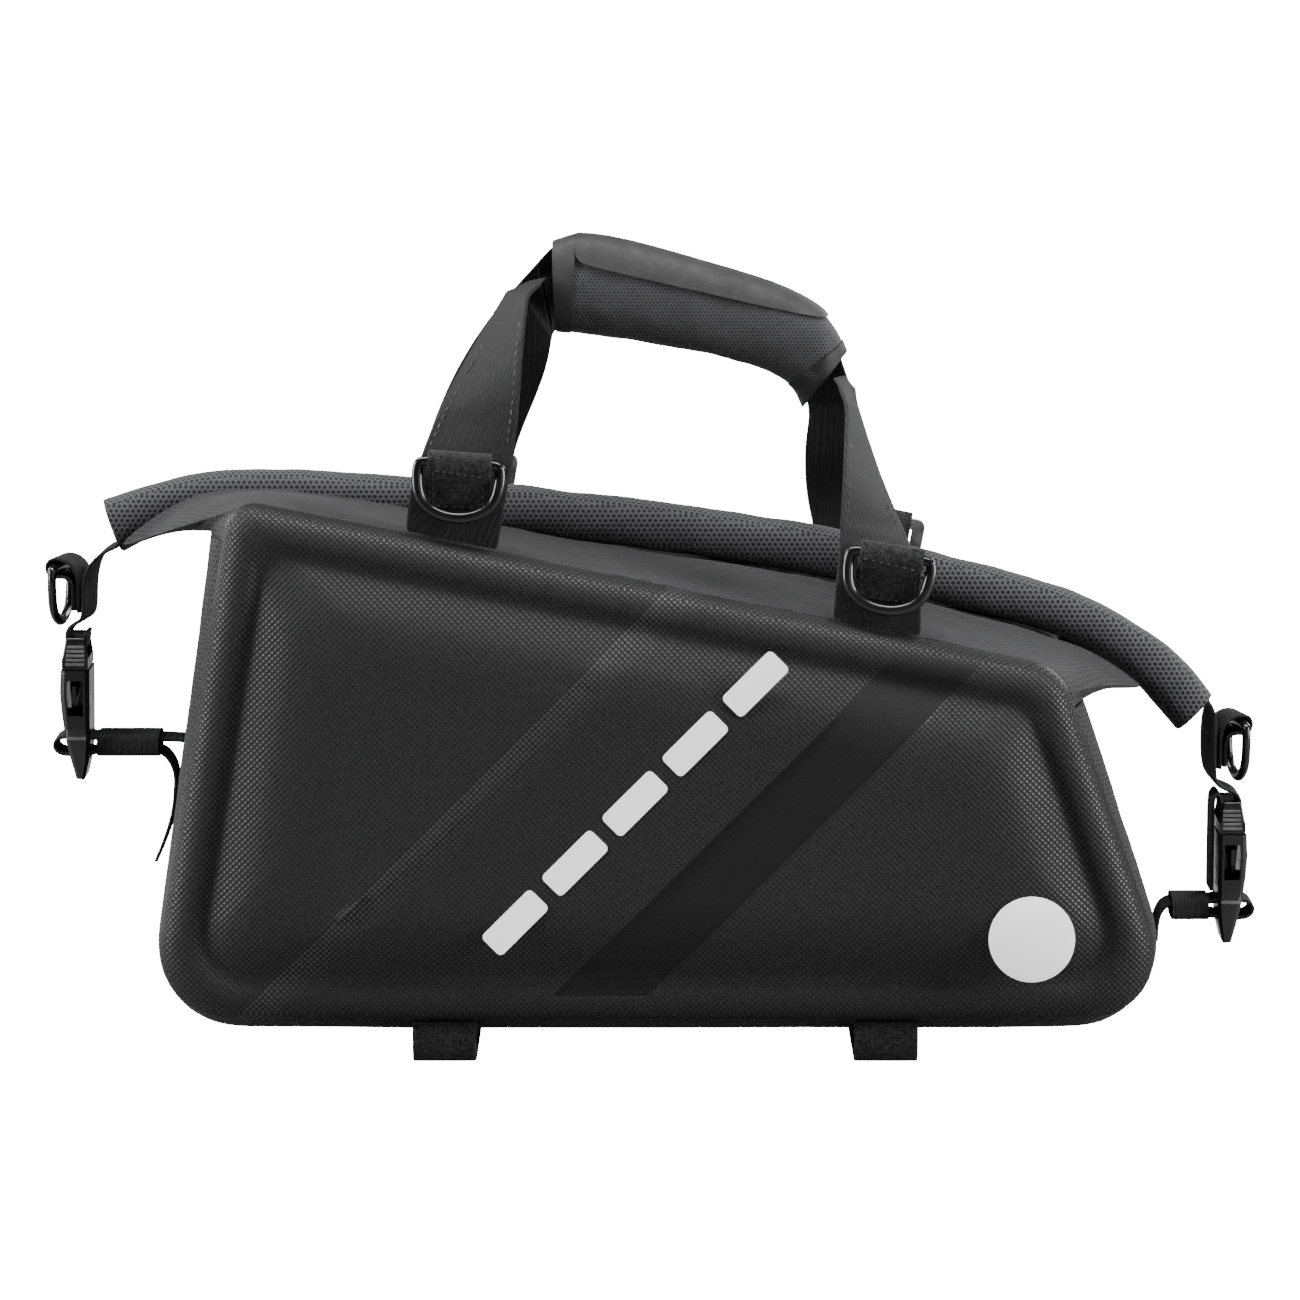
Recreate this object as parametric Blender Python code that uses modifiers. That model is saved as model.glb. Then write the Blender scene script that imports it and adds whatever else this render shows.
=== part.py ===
"""Hard-shell roll-top bag that sits on a bicycle's rear rack.

The bag faces -Y, its long side runs along X and it stands on the soles of its two rack straps at z = 0.
Sizes are in millimetres until a mesh is made.
"""

import math

import bmesh
import bpy
from mathutils import Vector

for old_object in list(bpy.data.objects):
    bpy.data.objects.remove(old_object, do_unlink=True)

MM = 0.001
GAP = 0.3

# Shell: sharp corners (x, z) of the rim seen from the front, and the radius of each
TOP_LEFT = (-163.7, 223.7)
TOP_RIGHT = (160.3, 157.3)
BOTTOM_RIGHT = (208.7, 18.8)
BOTTOM_LEFT = (-197.1, 18.8)
SHELL_CORNERS = (TOP_LEFT, TOP_RIGHT, BOTTOM_RIGHT, BOTTOM_LEFT)
CORNER_RADII = (12.0, 18.0, 29.0, 29.0)
LEAST_RADIUS = 4.0
PANEL_RADIUS_GAIN = 0.45
ARC_STEPS = 5
SIDE_STEPS = 3
RIM_Y = 65.0
SHELL_WALL = 3.0
# Moulded face: how far in from the outline, and how far proud of the rim plane
SHELL_PROFILE = (
    (0.0, 0.0), (0.0, 4.5), (1.2, 8.2), (4.0, 11.6), (8.0, 13.6), (12.0, 13.8),
    (15.5, 12.5), (19.0, 12.6), (27.0, 17.0), (34.0, 20.2), (42.0, 21.8), (50.0, 22.2),
)
RIM_ROLL_INSET = 15.0

# Smooth diagonal band pressed into each shell
BAND_FOOT = (-17.0, 32.0)
BAND_LENGTH = 186.0
BAND_WIDTH = 26.5
BAND_DEPTH = 1.1
BAND_ANGLE = math.radians(45.0)

# Fabric gusset round the ends and the base: share of the half depth, share of the bulge
FABRIC_WALL = 2.0
COVER_WALL = 1.4
FABRIC_EDGE_Y = RIM_Y - GAP
GUSSET_COLUMNS = ((1.0, 0.0), (0.94, 0.52), (0.84, 0.88), (0.6, 1.0), (0.0, 1.0))
# Height along each end, and how far the fabric bulges there
LEFT_BULGE = ((206.0, 6.0), (180.0, 5.2), (140.0, 4.1), (105.0, 3.3), (78.0, 2.2), (58.0, 1.6))
RIGHT_BULGE = ((62.0, 3.1), (78.0, 3.5), (95.0, 3.9), (118.0, 4.4), (141.0, 4.7))
BASE_BULGE = 6.8
BASE_STATIONS = (-140.0, -81.0, -20.0, 40.0, 92.0, 150.0)

# Roll: top and bottom points (x, z) of its sections
ROLL_SECTIONS = (
    ((-217.5, 217.8), (-209.3, 196.5)), ((-203.5, 222.3), (-196.0, 203.8)),
    ((-189.0, 226.4), (-184.0, 209.6)), ((-174.0, 229.3), (-171.0, 211.5)),
    ((-150.0, 230.5), (-149.0, 211.5)), ((-119.0, 228.1), (-120.5, 208.8)),
    ((-85.0, 225.9), (-87.5, 206.2)), ((-49.8, 223.3), (-53.0, 203.3)),
    ((-19.9, 219.7), (-23.0, 199.8)), ((19.9, 214.9), (16.5, 195.0)),
    ((59.7, 208.9), (56.0, 188.9)), ((86.0, 203.3), (82.0, 183.4)),
    ((109.5, 198.1), (105.0, 178.5)), ((139.3, 190.0), (134.0, 171.0)),
    ((159.0, 184.4), (152.0, 166.2)), ((179.0, 177.2), (170.5, 160.0)),
    ((198.2, 166.0), (187.0, 149.5)), ((212.6, 154.2), (200.0, 137.2)),
    ((224.2, 139.8), (209.8, 125.4)),
)
ROLL_HALF_DEPTH = 13.0
ROLL_TURNS = 2.2
ROLL_TURN_STEPS = 10
ROLL_PLY = 1.7
ROLL_PITCH = 2.6
ROLL_SQUARENESS = 0.72
ROLL_CLEARANCE = 0.3

# Fabric top: y of its columns and how far each has gone from the edge to the shoulder
COVER_COLUMNS = ((FABRIC_EDGE_Y, 0.0), (50.0, 0.34), (34.0, 0.72), (21.0, 0.97), (17.6, 1.0))
COVER_VALLEY_COLUMNS = ((14.4, 0.45), (11.0, 1.0), (0.0, 1.0))
COVER_END_SHARES = (0.0, 0.93, 1.0, 1.0, 1.0)
SHOULDER_DROP = 1.2
# Stations from the left end to the right: edge at the rim, shoulder in front of the roll, valley under it
COVER_STATIONS = (
    ((-165.6, 212.5), (-184.5, 207.6), (-172.5, 208.4)), ((-162.2, 219.0), (-196.2, 203.4), (-171.5, 209.2)),
    ((-153.5, 221.5), (-184.0, 219.6), (-168.0, 211.1)), ((-140.0, 218.8), (-160.0, 225.2), (-154.0, 211.1)),
    ((-119.0, 214.5), (-120.0, 219.8), (-121.0, 208.5)), ((-85.0, 207.5), (-86.0, 213.4), (-87.5, 205.8)),
    ((-50.0, 200.4), (-51.0, 207.0), (-53.0, 202.9)), ((-20.0, 194.2), (-22.0, 201.6), (-23.0, 199.4)),
    ((20.0, 186.1), (17.0, 195.4), (16.5, 194.6)), ((60.0, 177.9), (57.0, 189.0), (56.0, 188.5)),
    ((86.0, 172.5), (83.0, 183.3), (82.0, 183.0)), ((110.0, 167.6), (106.0, 178.2), (105.0, 178.1)),
    ((135.0, 162.5), (135.5, 169.8), (134.0, 170.6)), ((150.3, 159.3), (158.0, 164.5), (152.0, 165.8)),
    ((157.5, 156.5), (178.0, 155.0), (161.0, 162.6)), ((162.2, 151.5), (195.5, 140.5), (165.5, 156.2)),
    ((164.5, 146.0), (183.0, 140.4), (169.0, 149.0)),
)

# Handle strap between its rear feet and the grip: upper and lower edges on the left, then on the right
STRAP_LEFT_UPPER = (
    (-93.5, 65.9, 210.2), (-92.8, 65.9, 222.0), (-91.0, 60.0, 233.5), (-85.3, 45.0, 249.5),
    (-76.4, 27.0, 269.5), (-63.7, 11.0, 289.2), (-53.0, 2.0, 301.8), (-44.5, -1.0, 311.5),
)
STRAP_LEFT_LOWER = (
    (-58.0, 65.9, 202.8), (-57.0, 65.9, 217.0), (-55.4, 60.0, 231.5), (-48.7, 46.0, 248.5),
    (-43.2, 33.0, 262.0), (-40.4, 25.0, 272.0), (-39.4, 16.0, 278.4), (-38.8, 7.5, 282.6),
)
STRAP_RIGHT_UPPER = (
    (78.6, 1.0, 265.0), (82.8, 11.0, 252.0), (85.9, 25.0, 240.0), (89.5, 41.0, 229.4), (93.0, 55.5, 219.0),
    (98.0, 64.6, 206.0), (102.5, 65.9, 190.0), (105.0, 65.9, 169.3),
)
STRAP_RIGHT_LOWER = (
    (63.6, 20.0, 248.5), (62.8, 32.0, 241.5), (62.4, 46.0, 233.5), (62.6, 56.0, 223.0), (63.4, 62.5, 213.5),
    (65.8, 65.5, 202.0), (68.5, 65.9, 189.0), (71.3, 65.9, 176.3),
)
STRAP_IN_GRIP = 1.8
STRAP_PLY = 1.6

# Front legs of the handle: outer and inner edges from the foot to the top
FRONT_LEFT_OUTER = (
    (-95.0, -65.9, 210.4), (-93.5, -65.9, 225.0), (-89.1, -65.0, 239.8), (-83.0, -54.0, 254.5),
    (-76.2, -35.6, 268.0), (-66.6, -12.6, 283.8), (-58.3, 3.2, 296.2),
)
FRONT_LEFT_INNER = (
    (-59.5, -65.9, 203.1), (-56.5, -65.9, 221.0), (-52.9, -65.5, 242.4), (-50.8, -63.0, 262.0),
    (-50.0, -55.0, 277.0), (-48.9, -43.0, 290.0), (-47.9, -29.0, 300.6),
)
FRONT_RIGHT_INNER = (
    (71.5, -65.9, 176.3), (72.5, -65.9, 190.0), (73.6, -65.9, 202.0), (74.4, -65.6, 213.0),
    (75.4, -62.0, 229.0), (76.4, -52.0, 244.0), (77.4, -36.0, 257.4),
)
FRONT_RIGHT_OUTER = (
    (105.4, -65.9, 169.3), (105.6, -65.9, 183.0), (104.6, -61.0, 196.0), (98.5, -45.0, 211.0),
    (91.0, -32.0, 228.0), (85.5, -20.0, 243.5), (81.3, -3.6, 256.6),
)

# Grip wrap: upper and lower lines of its outside
GRIP_UPPER = (
    (-38.2, 0.0, 320.3), (-29.7, 0.0, 323.0), (-18.5, 0.0, 322.6), (0.5, 0.0, 318.0), (20.8, 0.0, 312.0),
    (40.5, 0.0, 306.4), (56.5, 0.0, 300.8), (68.0, -0.5, 293.6), (74.6, -1.0, 284.5), (76.6, -1.5, 274.5),
)
GRIP_LOWER = (
    (-36.6, 1.5, 283.6), (-28.5, 0.5, 283.0), (-20.5, 0.0, 282.0), (-3.5, 0.0, 279.4), (14.5, 0.0, 276.6),
    (31.0, 0.0, 273.0), (43.5, 1.0, 269.2), (52.0, 3.2, 265.6), (58.0, 7.0, 260.8), (62.0, 11.5, 255.0),
)
GRIP_HALF_DEPTH = 13.0
GRIP_SLOT_HALF_DEPTH = 3.2
GRIP_END_WALL = 1.1
GRIP_SECTION_STEPS = 14

# Webbing tabs, D-rings and hooks
WEBBING = 25.0
PLY = 1.5
RING_HALF_WIDTH = 16.2
RING_DROP = 21.9
RING_HALF_BAND = 2.3
RING_HALF_THICK = 1.8
RING_TILT = math.radians(6.5)
# Bar centre and slant of each of the four fixing points near the handle
FRONT_LEFT_BAR = ((-74.0, -71.4, 237.7), math.radians(4.0))
FRONT_RIGHT_BAR = ((94.0, -71.4, 201.6), math.radians(9.0))
REAR_LEFT_BAR = ((-71.7, 72.1, 229.5), math.radians(9.0))
REAR_RIGHT_BAR = ((93.7, 72.1, 203.4), math.radians(11.0))
# Folds of a tab (out, up) from the end of its front ply over the bar to the end of its rear ply
RING_TAB_FOLD = (
    (-1.45, -18.0), (-1.4, -11.0), (-0.5, -7.2), (2.3, -4.9), (3.3, -2.6), (3.55, 0.3), (2.9, 2.5),
    (1.2, 3.6), (-0.6, 3.6), (-2.3, 2.7), (-3.3, 0.8), (-3.55, -2.5), (-3.6, -6.0), (-3.6, -20.0),
)
HOOK_TAB_FOLD = (
    (-2.55, -18.0), (-2.55, -10.2), (-2.1, -8.0), (-0.3, -6.4), (1.9, -5.2), (3.4, -3.0), (3.9, -0.3),
    (3.3, 2.3),
    (1.6, 3.8), (-0.4, 4.05), (-2.4, 3.1), (-3.7, 1.0), (-4.25, -2.5), (-4.35, -6.0), (-4.35, -20.0),
)
HOOK_HALF_WIDTH = 18.5
HOOK_DROP = 20.0
HOOK_HALF_THICK = 1.3

# Buckles: middle of the thickness (x) and top of the socket (z), and the side that faces outwards
LEFT_BUCKLE = (-227.6, 150.3, -1.0)
RIGHT_BUCKLE = (231.0, 84.8, 1.0)
END_RING_LEFT = (-234.5, 190.6)
END_RING_RIGHT = (234.3, 128.2)
# The webbing and ring of each end hang slightly turned: upright line (x), turn seen from above, and the
# heights where the turn starts below the roll, is full, is still full and has ended above the buckle
LEFT_HANG = (-222.9, math.radians(-9.0), (197.0, 190.0, 170.2, 164.0))
RIGHT_HANG = (222.5, math.radians(9.0), (136.5, 129.5, 109.5, 103.5))
# Socket: distance below its top, half thickness and half width
SOCKET_SECTIONS = (
    (0.0, 5.4, 17.5), (-24.0, 5.4, 17.5), (-29.5, 5.2, 17.0), (-36.0, 4.0, 16.0), (-43.5, 1.7, 14.0),
)

# Rack straps
RACK_STRAP_X = (-80.5, 92.5)
RACK_STRAP_THICK = 2.0

COLLECTION_NAME = "bicycle_trunk_bag"


def make_collection(name):
    collection = bpy.data.collections.new(name)
    bpy.context.scene.collection.children.link(collection)
    return collection


BAG = make_collection(COLLECTION_NAME)
CUTTERS = make_collection("cutters")


def make_material(name, colour, roughness, metallic=0.0):
    """Plain surface with one colour."""
    material = bpy.data.materials.new(name)
    material.use_nodes = True
    shader = material.node_tree.nodes["Principled BSDF"]
    shader.inputs["Base Color"].default_value = (*colour, 1.0)
    shader.inputs["Roughness"].default_value = roughness
    shader.inputs["Metallic"].default_value = metallic
    material.diffuse_color = (*colour, 1.0)
    return material


def shell_material():
    return make_material("moulded_shell", (0.035, 0.036, 0.038), 0.38)


def fabric_material():
    return make_material("mesh_fabric", (0.05, 0.05, 0.052), 0.85)


def webbing_material():
    return make_material("woven_webbing", (0.075, 0.075, 0.078), 0.8)


def plastic_material():
    return make_material("black_plastic", (0.02, 0.02, 0.021), 0.3)


def alloy_material():
    return make_material("satin_alloy", (0.6, 0.6, 0.61), 0.32, 1.0)


def hook_and_loop_material():
    return make_material("hook_and_loop", (0.045, 0.045, 0.047), 0.95)


def mesh_object(name, points, faces, material, origin=(0.0, 0.0, 0.0), collection=BAG):
    """Object from points in millimetres, with its own origin at the given point."""
    mesh = bpy.data.meshes.new(name)
    centre = Vector(origin)
    mesh.from_pydata([(Vector(point) - centre) * MM for point in points], [], faces)
    work = bmesh.new()
    work.from_mesh(mesh)
    bmesh.ops.recalc_face_normals(work, faces=work.faces)
    work.to_mesh(mesh)
    work.free()
    mesh.materials.append(material)
    item = bpy.data.objects.new(name, mesh)
    item.location = centre * MM
    collection.objects.link(item)
    return item


def add_cutter(name, points, faces):
    """Hidden solid that only shapes another piece."""
    cutter = mesh_object(name, points, faces, PLASTIC, collection=CUTTERS)
    cutter.hide_render = True
    cutter.display_type = "WIRE"
    return cutter


def combine(item, other, operation):
    modifier = item.modifiers.new(other.name, "BOOLEAN")
    modifier.operation = operation
    modifier.solver = "EXACT"
    modifier.object = other


def tube(rings, capped=True, looped=False):
    """Points and faces of a skin over closed rings with equal counts."""
    count = len(rings[0])
    points = [point for ring in rings for point in ring]
    faces = []
    spans = len(rings) if looped else len(rings) - 1
    for row in range(spans):
        here = row * count
        there = ((row + 1) % len(rings)) * count
        for column in range(count):
            after = (column + 1) % count
            faces.append((here + column, here + after, there + after, there + column))
    if capped and not looped:
        faces.append(tuple(range(count))[::-1])
        faces.append(tuple(len(points) - count + column for column in range(count)))
    return points, faces


def grid(rows):
    """Points and faces of an open sheet."""
    count = len(rows[0])
    points = [point for row in rows for point in row]
    faces = []
    for row in range(len(rows) - 1):
        for column in range(count - 1):
            corner = row * count + column
            faces.append((corner, corner + 1, corner + count + 1, corner + count))
    return points, faces


def box_points(low, high):
    """Corner rings of an upright box, bottom ring first."""
    (x0, y0, z0), (x1, y1, z1) = low, high
    return [[(x0, y0, z), (x1, y0, z), (x1, y1, z), (x0, y1, z)] for z in (z0, z1)]


def lerp(start, end, share):
    return tuple(a + (b - a) * share for a, b in zip(start, end))


def smooth(points, steps):
    """Points on a curve through the given points, with that many steps in each span."""
    path = [Vector(point) for point in points]
    result = []
    for index in range(len(path) - 1):
        before = path[max(index - 1, 0)]
        start = path[index]
        end = path[index + 1]
        after = path[min(index + 2, len(path) - 1)]
        for step in range(steps):
            t = step / steps
            result.append(0.5 * (2.0 * start + (end - before) * t
                                 + (2.0 * before - 5.0 * start + 4.0 * end - after) * t * t
                                 + (3.0 * start - before - 3.0 * end + after) * t ** 3))
    result.append(path[-1])
    return result


def rounded_outline(inset):
    """Outline of the shell moved inwards: list of (x, z)."""
    corners = [Vector(corner) for corner in SHELL_CORNERS]
    count = len(corners)
    edges = [(corners[(index + 1) % count] - corners[index]).normalized() for index in range(count)]
    result = []
    for index in range(count):
        arriving = edges[index - 1]
        leaving = edges[index]
        turn = arriving.angle(leaving)
        half = math.tan(turn / 2.0)
        corner = corners[index] - arriving * inset * half + leaving * inset * half
        inward = Vector((leaving.y, -leaving.x))
        corner = corners[index] + inward * inset + leaving * inset * half
        radius = max(CORNER_RADII[index] - inset, LEAST_RADIUS)
        if inset > RIM_ROLL_INSET:
            radius += (inset - RIM_ROLL_INSET) * PANEL_RADIUS_GAIN
        reach = radius * half
        start = corner - arriving * reach
        centre = start + Vector((arriving.y, -arriving.x)) * radius
        for step in range(ARC_STEPS + 1):
            angle = turn * step / ARC_STEPS
            spoke = start - centre
            turned = Vector((spoke.x * math.cos(angle) + spoke.y * math.sin(angle),
                             spoke.y * math.cos(angle) - spoke.x * math.sin(angle)))
            result.append(tuple(centre + turned))
    return result


def outline_ring(inset, y):
    """Closed ring of the shell at one inset, with steps along its straight sides."""
    arcs = rounded_outline(inset)
    ring = []
    for index, (x, z) in enumerate(arcs):
        ring.append((x, y, z))
        if index % (ARC_STEPS + 1) == ARC_STEPS:
            following = arcs[(index + 1) % len(arcs)]
            for step in range(1, SIDE_STEPS):
                px, pz = lerp((x, z), following, step / SIDE_STEPS)
                ring.append((px, y, pz))
    return ring


def band_cutter(name, side):
    """Slab of the diagonal band, less the body below the band's floor."""
    along = (math.cos(BAND_ANGLE), math.sin(BAND_ANGLE))
    across = (-along[1], along[0])
    half = BAND_WIDTH / 2.0
    foot = BAND_FOOT
    head = (foot[0] + along[0] * BAND_LENGTH, foot[1] + along[1] * BAND_LENGTH)
    rim = []
    for point, sign in ((foot, 1.0), (head, 1.0), (head, -1.0), (foot, -1.0)):
        rim.append((point[0] + across[0] * half * sign, point[1] + across[1] * half * sign))
    rings = [[(x, side * y, z) for x, z in rim] for y in (RIM_Y + 8.0, RIM_Y + 30.0)]
    slab = add_cutter(name + "_slab", *tube(rings))
    floor = []
    for inset, rise in SHELL_PROFILE[1:]:
        floor.append(outline_ring(inset + 0.4, side * (RIM_Y + rise - BAND_DEPTH)))
    core = add_cutter(name + "_core", *tube([outline_ring(0.4, side * (RIM_Y - 6.0))] + floor))
    combine(slab, core, "DIFFERENCE")
    return slab


def make_shell(name, side):
    """Domed shell, open towards the fabric."""
    rings = [outline_ring(inset, side * (RIM_Y + rise)) for inset, rise in SHELL_PROFILE]
    points, faces = tube(rings, capped=False)
    count = len(rings[0])
    faces.append(tuple(len(points) - count + column for column in range(count)))
    if side > 0:
        faces = [face[::-1] for face in faces]
    shell = mesh_object(name, points, faces, SHELL)
    wall = shell.modifiers.new("wall", "SOLIDIFY")
    wall.thickness = SHELL_WALL * MM
    wall.offset = -1.0
    wall.use_even_offset = True
    combine(shell, band_cutter(name + "_band", side), "DIFFERENCE")
    return shell


def side_point(top, bottom, z):
    """Point on a straight end of the outline at one height, and its outward normal."""
    share = (z - bottom[1]) / (top[1] - bottom[1])
    x = bottom[0] + (top[0] - bottom[0]) * share
    run = Vector((top[0] - bottom[0], top[1] - bottom[1])).normalized()
    outward = Vector((-run.y, run.x)) if x < 0 else Vector((run.y, -run.x))
    return Vector((x, z)), outward


def end_surface_x(side, z):
    """Outer x of the gusset's middle line at one height."""
    table = LEFT_BULGE[::-1] if side < 0 else RIGHT_BULGE
    top, bottom = (TOP_LEFT, BOTTOM_LEFT) if side < 0 else (TOP_RIGHT, BOTTOM_RIGHT)
    bulge = table[0][1]
    for (z0, b0), (z1, b1) in zip(table, table[1:]):
        if z0 <= z <= z1:
            bulge = b0 + (b1 - b0) * (z - z0) / (z1 - z0)
    point, outward = side_point(top, bottom, z)
    return point.x + outward.x * bulge


def corner_arc(index, start_bulge, end_bulge):
    """Outline points round a lower corner, each with its normal and bulge."""
    arcs = rounded_outline(0.0)
    first = index * (ARC_STEPS + 1)
    points = [Vector(point) for point in arcs[first:first + ARC_STEPS + 1]]
    stations = []
    for step, point in enumerate(points):
        before = points[max(step - 1, 0)]
        after = points[min(step + 1, ARC_STEPS)]
        run = (after - before).normalized()
        share = step / ARC_STEPS
        stations.append((point, Vector((-run.y, run.x)), start_bulge + (end_bulge - start_bulge) * share))
    return stations


def gusset_stations():
    """Stations from the top of the right end, round the base, to the top of the left end."""
    stations = []
    for z, bulge in RIGHT_BULGE[::-1]:
        stations.append((*side_point(TOP_RIGHT, BOTTOM_RIGHT, z), bulge))
    stations += corner_arc(2, RIGHT_BULGE[0][1], BASE_BULGE)
    for x in BASE_STATIONS[::-1]:
        stations.append((Vector((x, BOTTOM_LEFT[1])), Vector((0.0, -1.0)), BASE_BULGE))
    stations += corner_arc(3, BASE_BULGE, LEFT_BULGE[-1][1])
    for z, bulge in LEFT_BULGE[::-1]:
        stations.append((*side_point(TOP_LEFT, BOTTOM_LEFT, z), bulge))
    return stations


def mirrored(columns):
    """Columns for the rear half followed by those for the front half, without a second middle."""
    rear = list(columns)
    front = [(-y, share) for y, share in columns[:-1]]
    return rear + front[::-1]


def gusset_row(point, outward, bulge):
    row = []
    for share, rise in mirrored(GUSSET_COLUMNS):
        place = point + outward * bulge * rise
        row.append((place.x, share * FABRIC_EDGE_Y, place.y))
    return row


def fabric_sheet(name, rows, thickness, even):
    """Open sheet given the fabric's wall on its inner side; sharp folds are thinner when it isn't even."""
    points, faces = grid(rows)
    mesh = bpy.data.meshes.new(name)
    mesh.from_pydata([Vector(point) * MM for point in points], [], faces)
    mesh.materials.append(FABRIC)
    item = bpy.data.objects.new(name, mesh)
    BAG.objects.link(item)
    wall = item.modifiers.new("wall", "SOLIDIFY")
    wall.thickness = thickness * MM
    wall.offset = -1.0
    wall.use_even_offset = even
    return item


def make_gusset():
    rows = [gusset_row(*station) for station in gusset_stations()]
    return fabric_sheet("gusset", rows, FABRIC_WALL, True)


def cover_row(edge, shoulder, valley):
    half = []
    for y, share in COVER_COLUMNS:
        x, z = lerp(edge, shoulder, share)
        drop = SHOULDER_DROP if share == COVER_COLUMNS[3][1] else 0.0
        half.append((x, y, z - drop))
    for y, share in COVER_VALLEY_COLUMNS:
        x, z = lerp(shoulder, valley, share)
        half.append((x, y, z))
    return half + [(x, -y, z) for x, y, z in half[-2::-1]]


def cover_end_row(top, bottom, z, bulge):
    """First or last row of the fabric top, which meets the gusset."""
    point, outward = side_point(top, bottom, z)
    half = []
    for (y, _), share in zip(COVER_COLUMNS, COVER_END_SHARES):
        place = point + outward * bulge * share
        half.append((place.x, y, place.y))
    for y, _ in COVER_VALLEY_COLUMNS:
        place = point + outward * bulge
        half.append((place.x, y, place.y))
    return half + [(x, -y, z) for x, y, z in half[-2::-1]]


def make_cover():
    left_z, left_bulge = LEFT_BULGE[0]
    right_z, right_bulge = RIGHT_BULGE[-1]
    rows = [cover_end_row(TOP_LEFT, BOTTOM_LEFT, left_z + GAP, left_bulge)]
    rows += [cover_row(*station) for station in COVER_STATIONS]
    rows.append(cover_end_row(TOP_RIGHT, BOTTOM_RIGHT, right_z + GAP, right_bulge))
    cover = fabric_sheet("top_cover", rows, COVER_WALL, False)
    envelope = add_cutter("roll_room", *tube(roll_rings(ROLL_CLEARANCE)))
    combine(cover, envelope, "DIFFERENCE")
    return cover


def roll_frame(top, bottom):
    """Middle, upward direction and half height of one section of the roll."""
    high = Vector((top[0], 0.0, top[1]))
    low = Vector((bottom[0], 0.0, bottom[1]))
    return (high + low) / 2.0, (high - low).normalized(), (high - low).length / 2.0


def squared(value):
    return math.copysign(abs(value) ** ROLL_SQUARENESS, value)


def roll_point(middle, up, half_height, angle, inward):
    """Point on the rounded section of the roll, moved inwards."""
    y = squared(math.cos(angle)) * (ROLL_HALF_DEPTH - inward)
    rise = squared(math.sin(angle)) * (half_height - inward)
    place = middle + up * rise
    return (place.x, y, place.z)


def roll_rings(grow):
    """Closed outer rings of the roll, grown by a clearance."""
    rings = []
    for index, (top, bottom) in enumerate(ROLL_SECTIONS):
        middle, up, half_height = roll_frame(top, bottom)
        steps = ROLL_TURN_STEPS * 2
        turns = [math.tau * step / steps for step in range(steps)]
        rings.append([roll_point(middle, up, half_height, turn, -grow) for turn in turns])
    return rings


def make_roll():
    """Fabric rolled up on itself: one ply that leaves the valley, turns over the front and goes inwards."""
    rings = []
    steps = int(ROLL_TURNS * ROLL_TURN_STEPS)
    for top, bottom in ROLL_SECTIONS:
        middle, up, half_height = roll_frame(top, bottom)
        outer = []
        inner = []
        for step in range(steps + 1):
            turns = step / ROLL_TURN_STEPS
            angle = -math.tau * (turns + 0.25)
            depth = ROLL_PITCH * (int(turns) + max(0.0, 2.0 * (turns % 1.0) - 1.0))
            outer.append(roll_point(middle, up, half_height, angle, depth))
            inner.append(roll_point(middle, up, half_height, angle, depth + ROLL_PLY))
        rings.append(outer + inner[::-1])
    return mesh_object("roll", *tube(rings), FABRIC)


def ribbon(name, edge_a, edge_b, thickness, material, steps=2):
    """Strap between two edge lines, with a ply's thickness."""
    line_a = smooth(edge_a, steps)
    line_b = smooth(edge_b, steps)
    middles = [(a + b) / 2.0 for a, b in zip(line_a, line_b)]
    rings = []
    for index, (a, b) in enumerate(zip(line_a, line_b)):
        run = middles[min(index + 1, len(middles) - 1)] - middles[max(index - 1, 0)]
        normal = run.cross(b - a).normalized() * thickness / 2.0
        rings.append([a + normal, b + normal, b - normal, a - normal])
    return mesh_object(name, *tube(rings), material)


def make_handle_straps():
    """The strap that the grip wraps, and the two shorter legs stitched to it in front."""
    upper = list(STRAP_LEFT_UPPER)
    lower = list(STRAP_LEFT_LOWER)
    for top, bottom in zip(GRIP_UPPER, GRIP_LOWER):
        inset = (Vector(top) - Vector(bottom)).normalized() * STRAP_IN_GRIP
        upper.append(tuple(Vector(top) - inset))
        lower.append(tuple(Vector(bottom) + inset))
    upper += STRAP_RIGHT_UPPER
    lower += STRAP_RIGHT_LOWER
    ribbon("handle_strap_rear", upper, lower, STRAP_PLY, STRAP, 1)
    ribbon("handle_strap_front_left", FRONT_LEFT_OUTER, FRONT_LEFT_INNER, STRAP_PLY, STRAP)
    ribbon("handle_strap_front_right", FRONT_RIGHT_INNER, FRONT_RIGHT_OUTER, STRAP_PLY, STRAP)


def make_grip():
    """Padded wrap with a slot that the strap runs through."""
    upper = [Vector(point) for point in GRIP_UPPER]
    lower = [Vector(point) for point in GRIP_LOWER]
    middles = [(a + b) / 2.0 for a, b in zip(upper, lower)]
    outside = []
    inside = []
    for index, (top, bottom) in enumerate(zip(upper, lower)):
        run = middles[min(index + 1, len(middles) - 1)] - middles[max(index - 1, 0)]
        up = (top - bottom).normalized()
        depth = run.cross(up).normalized()
        half = (top - bottom).length / 2.0
        middle = middles[index]
        outer = []
        inner = []
        for step in range(GRIP_SECTION_STEPS):
            angle = math.tau * (step + 0.5) / GRIP_SECTION_STEPS
            across = squared(math.cos(angle))
            rise = squared(math.sin(angle))
            outer.append(middle + up * half * rise + depth * GRIP_HALF_DEPTH * across)
            slot_rise = max(-1.0, min(1.0, 1.35 * rise))
            slot_across = max(-1.0, min(1.0, 1.8 * across))
            inner.append(middle + up * (half - GRIP_END_WALL) * slot_rise
                         + depth * GRIP_SLOT_HALF_DEPTH * slot_across)
        outside.append(outer)
        inside.append(inner)
    return mesh_object("grip_wrap", *tube(outside + inside[::-1], looped=True), FABRIC)


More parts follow.
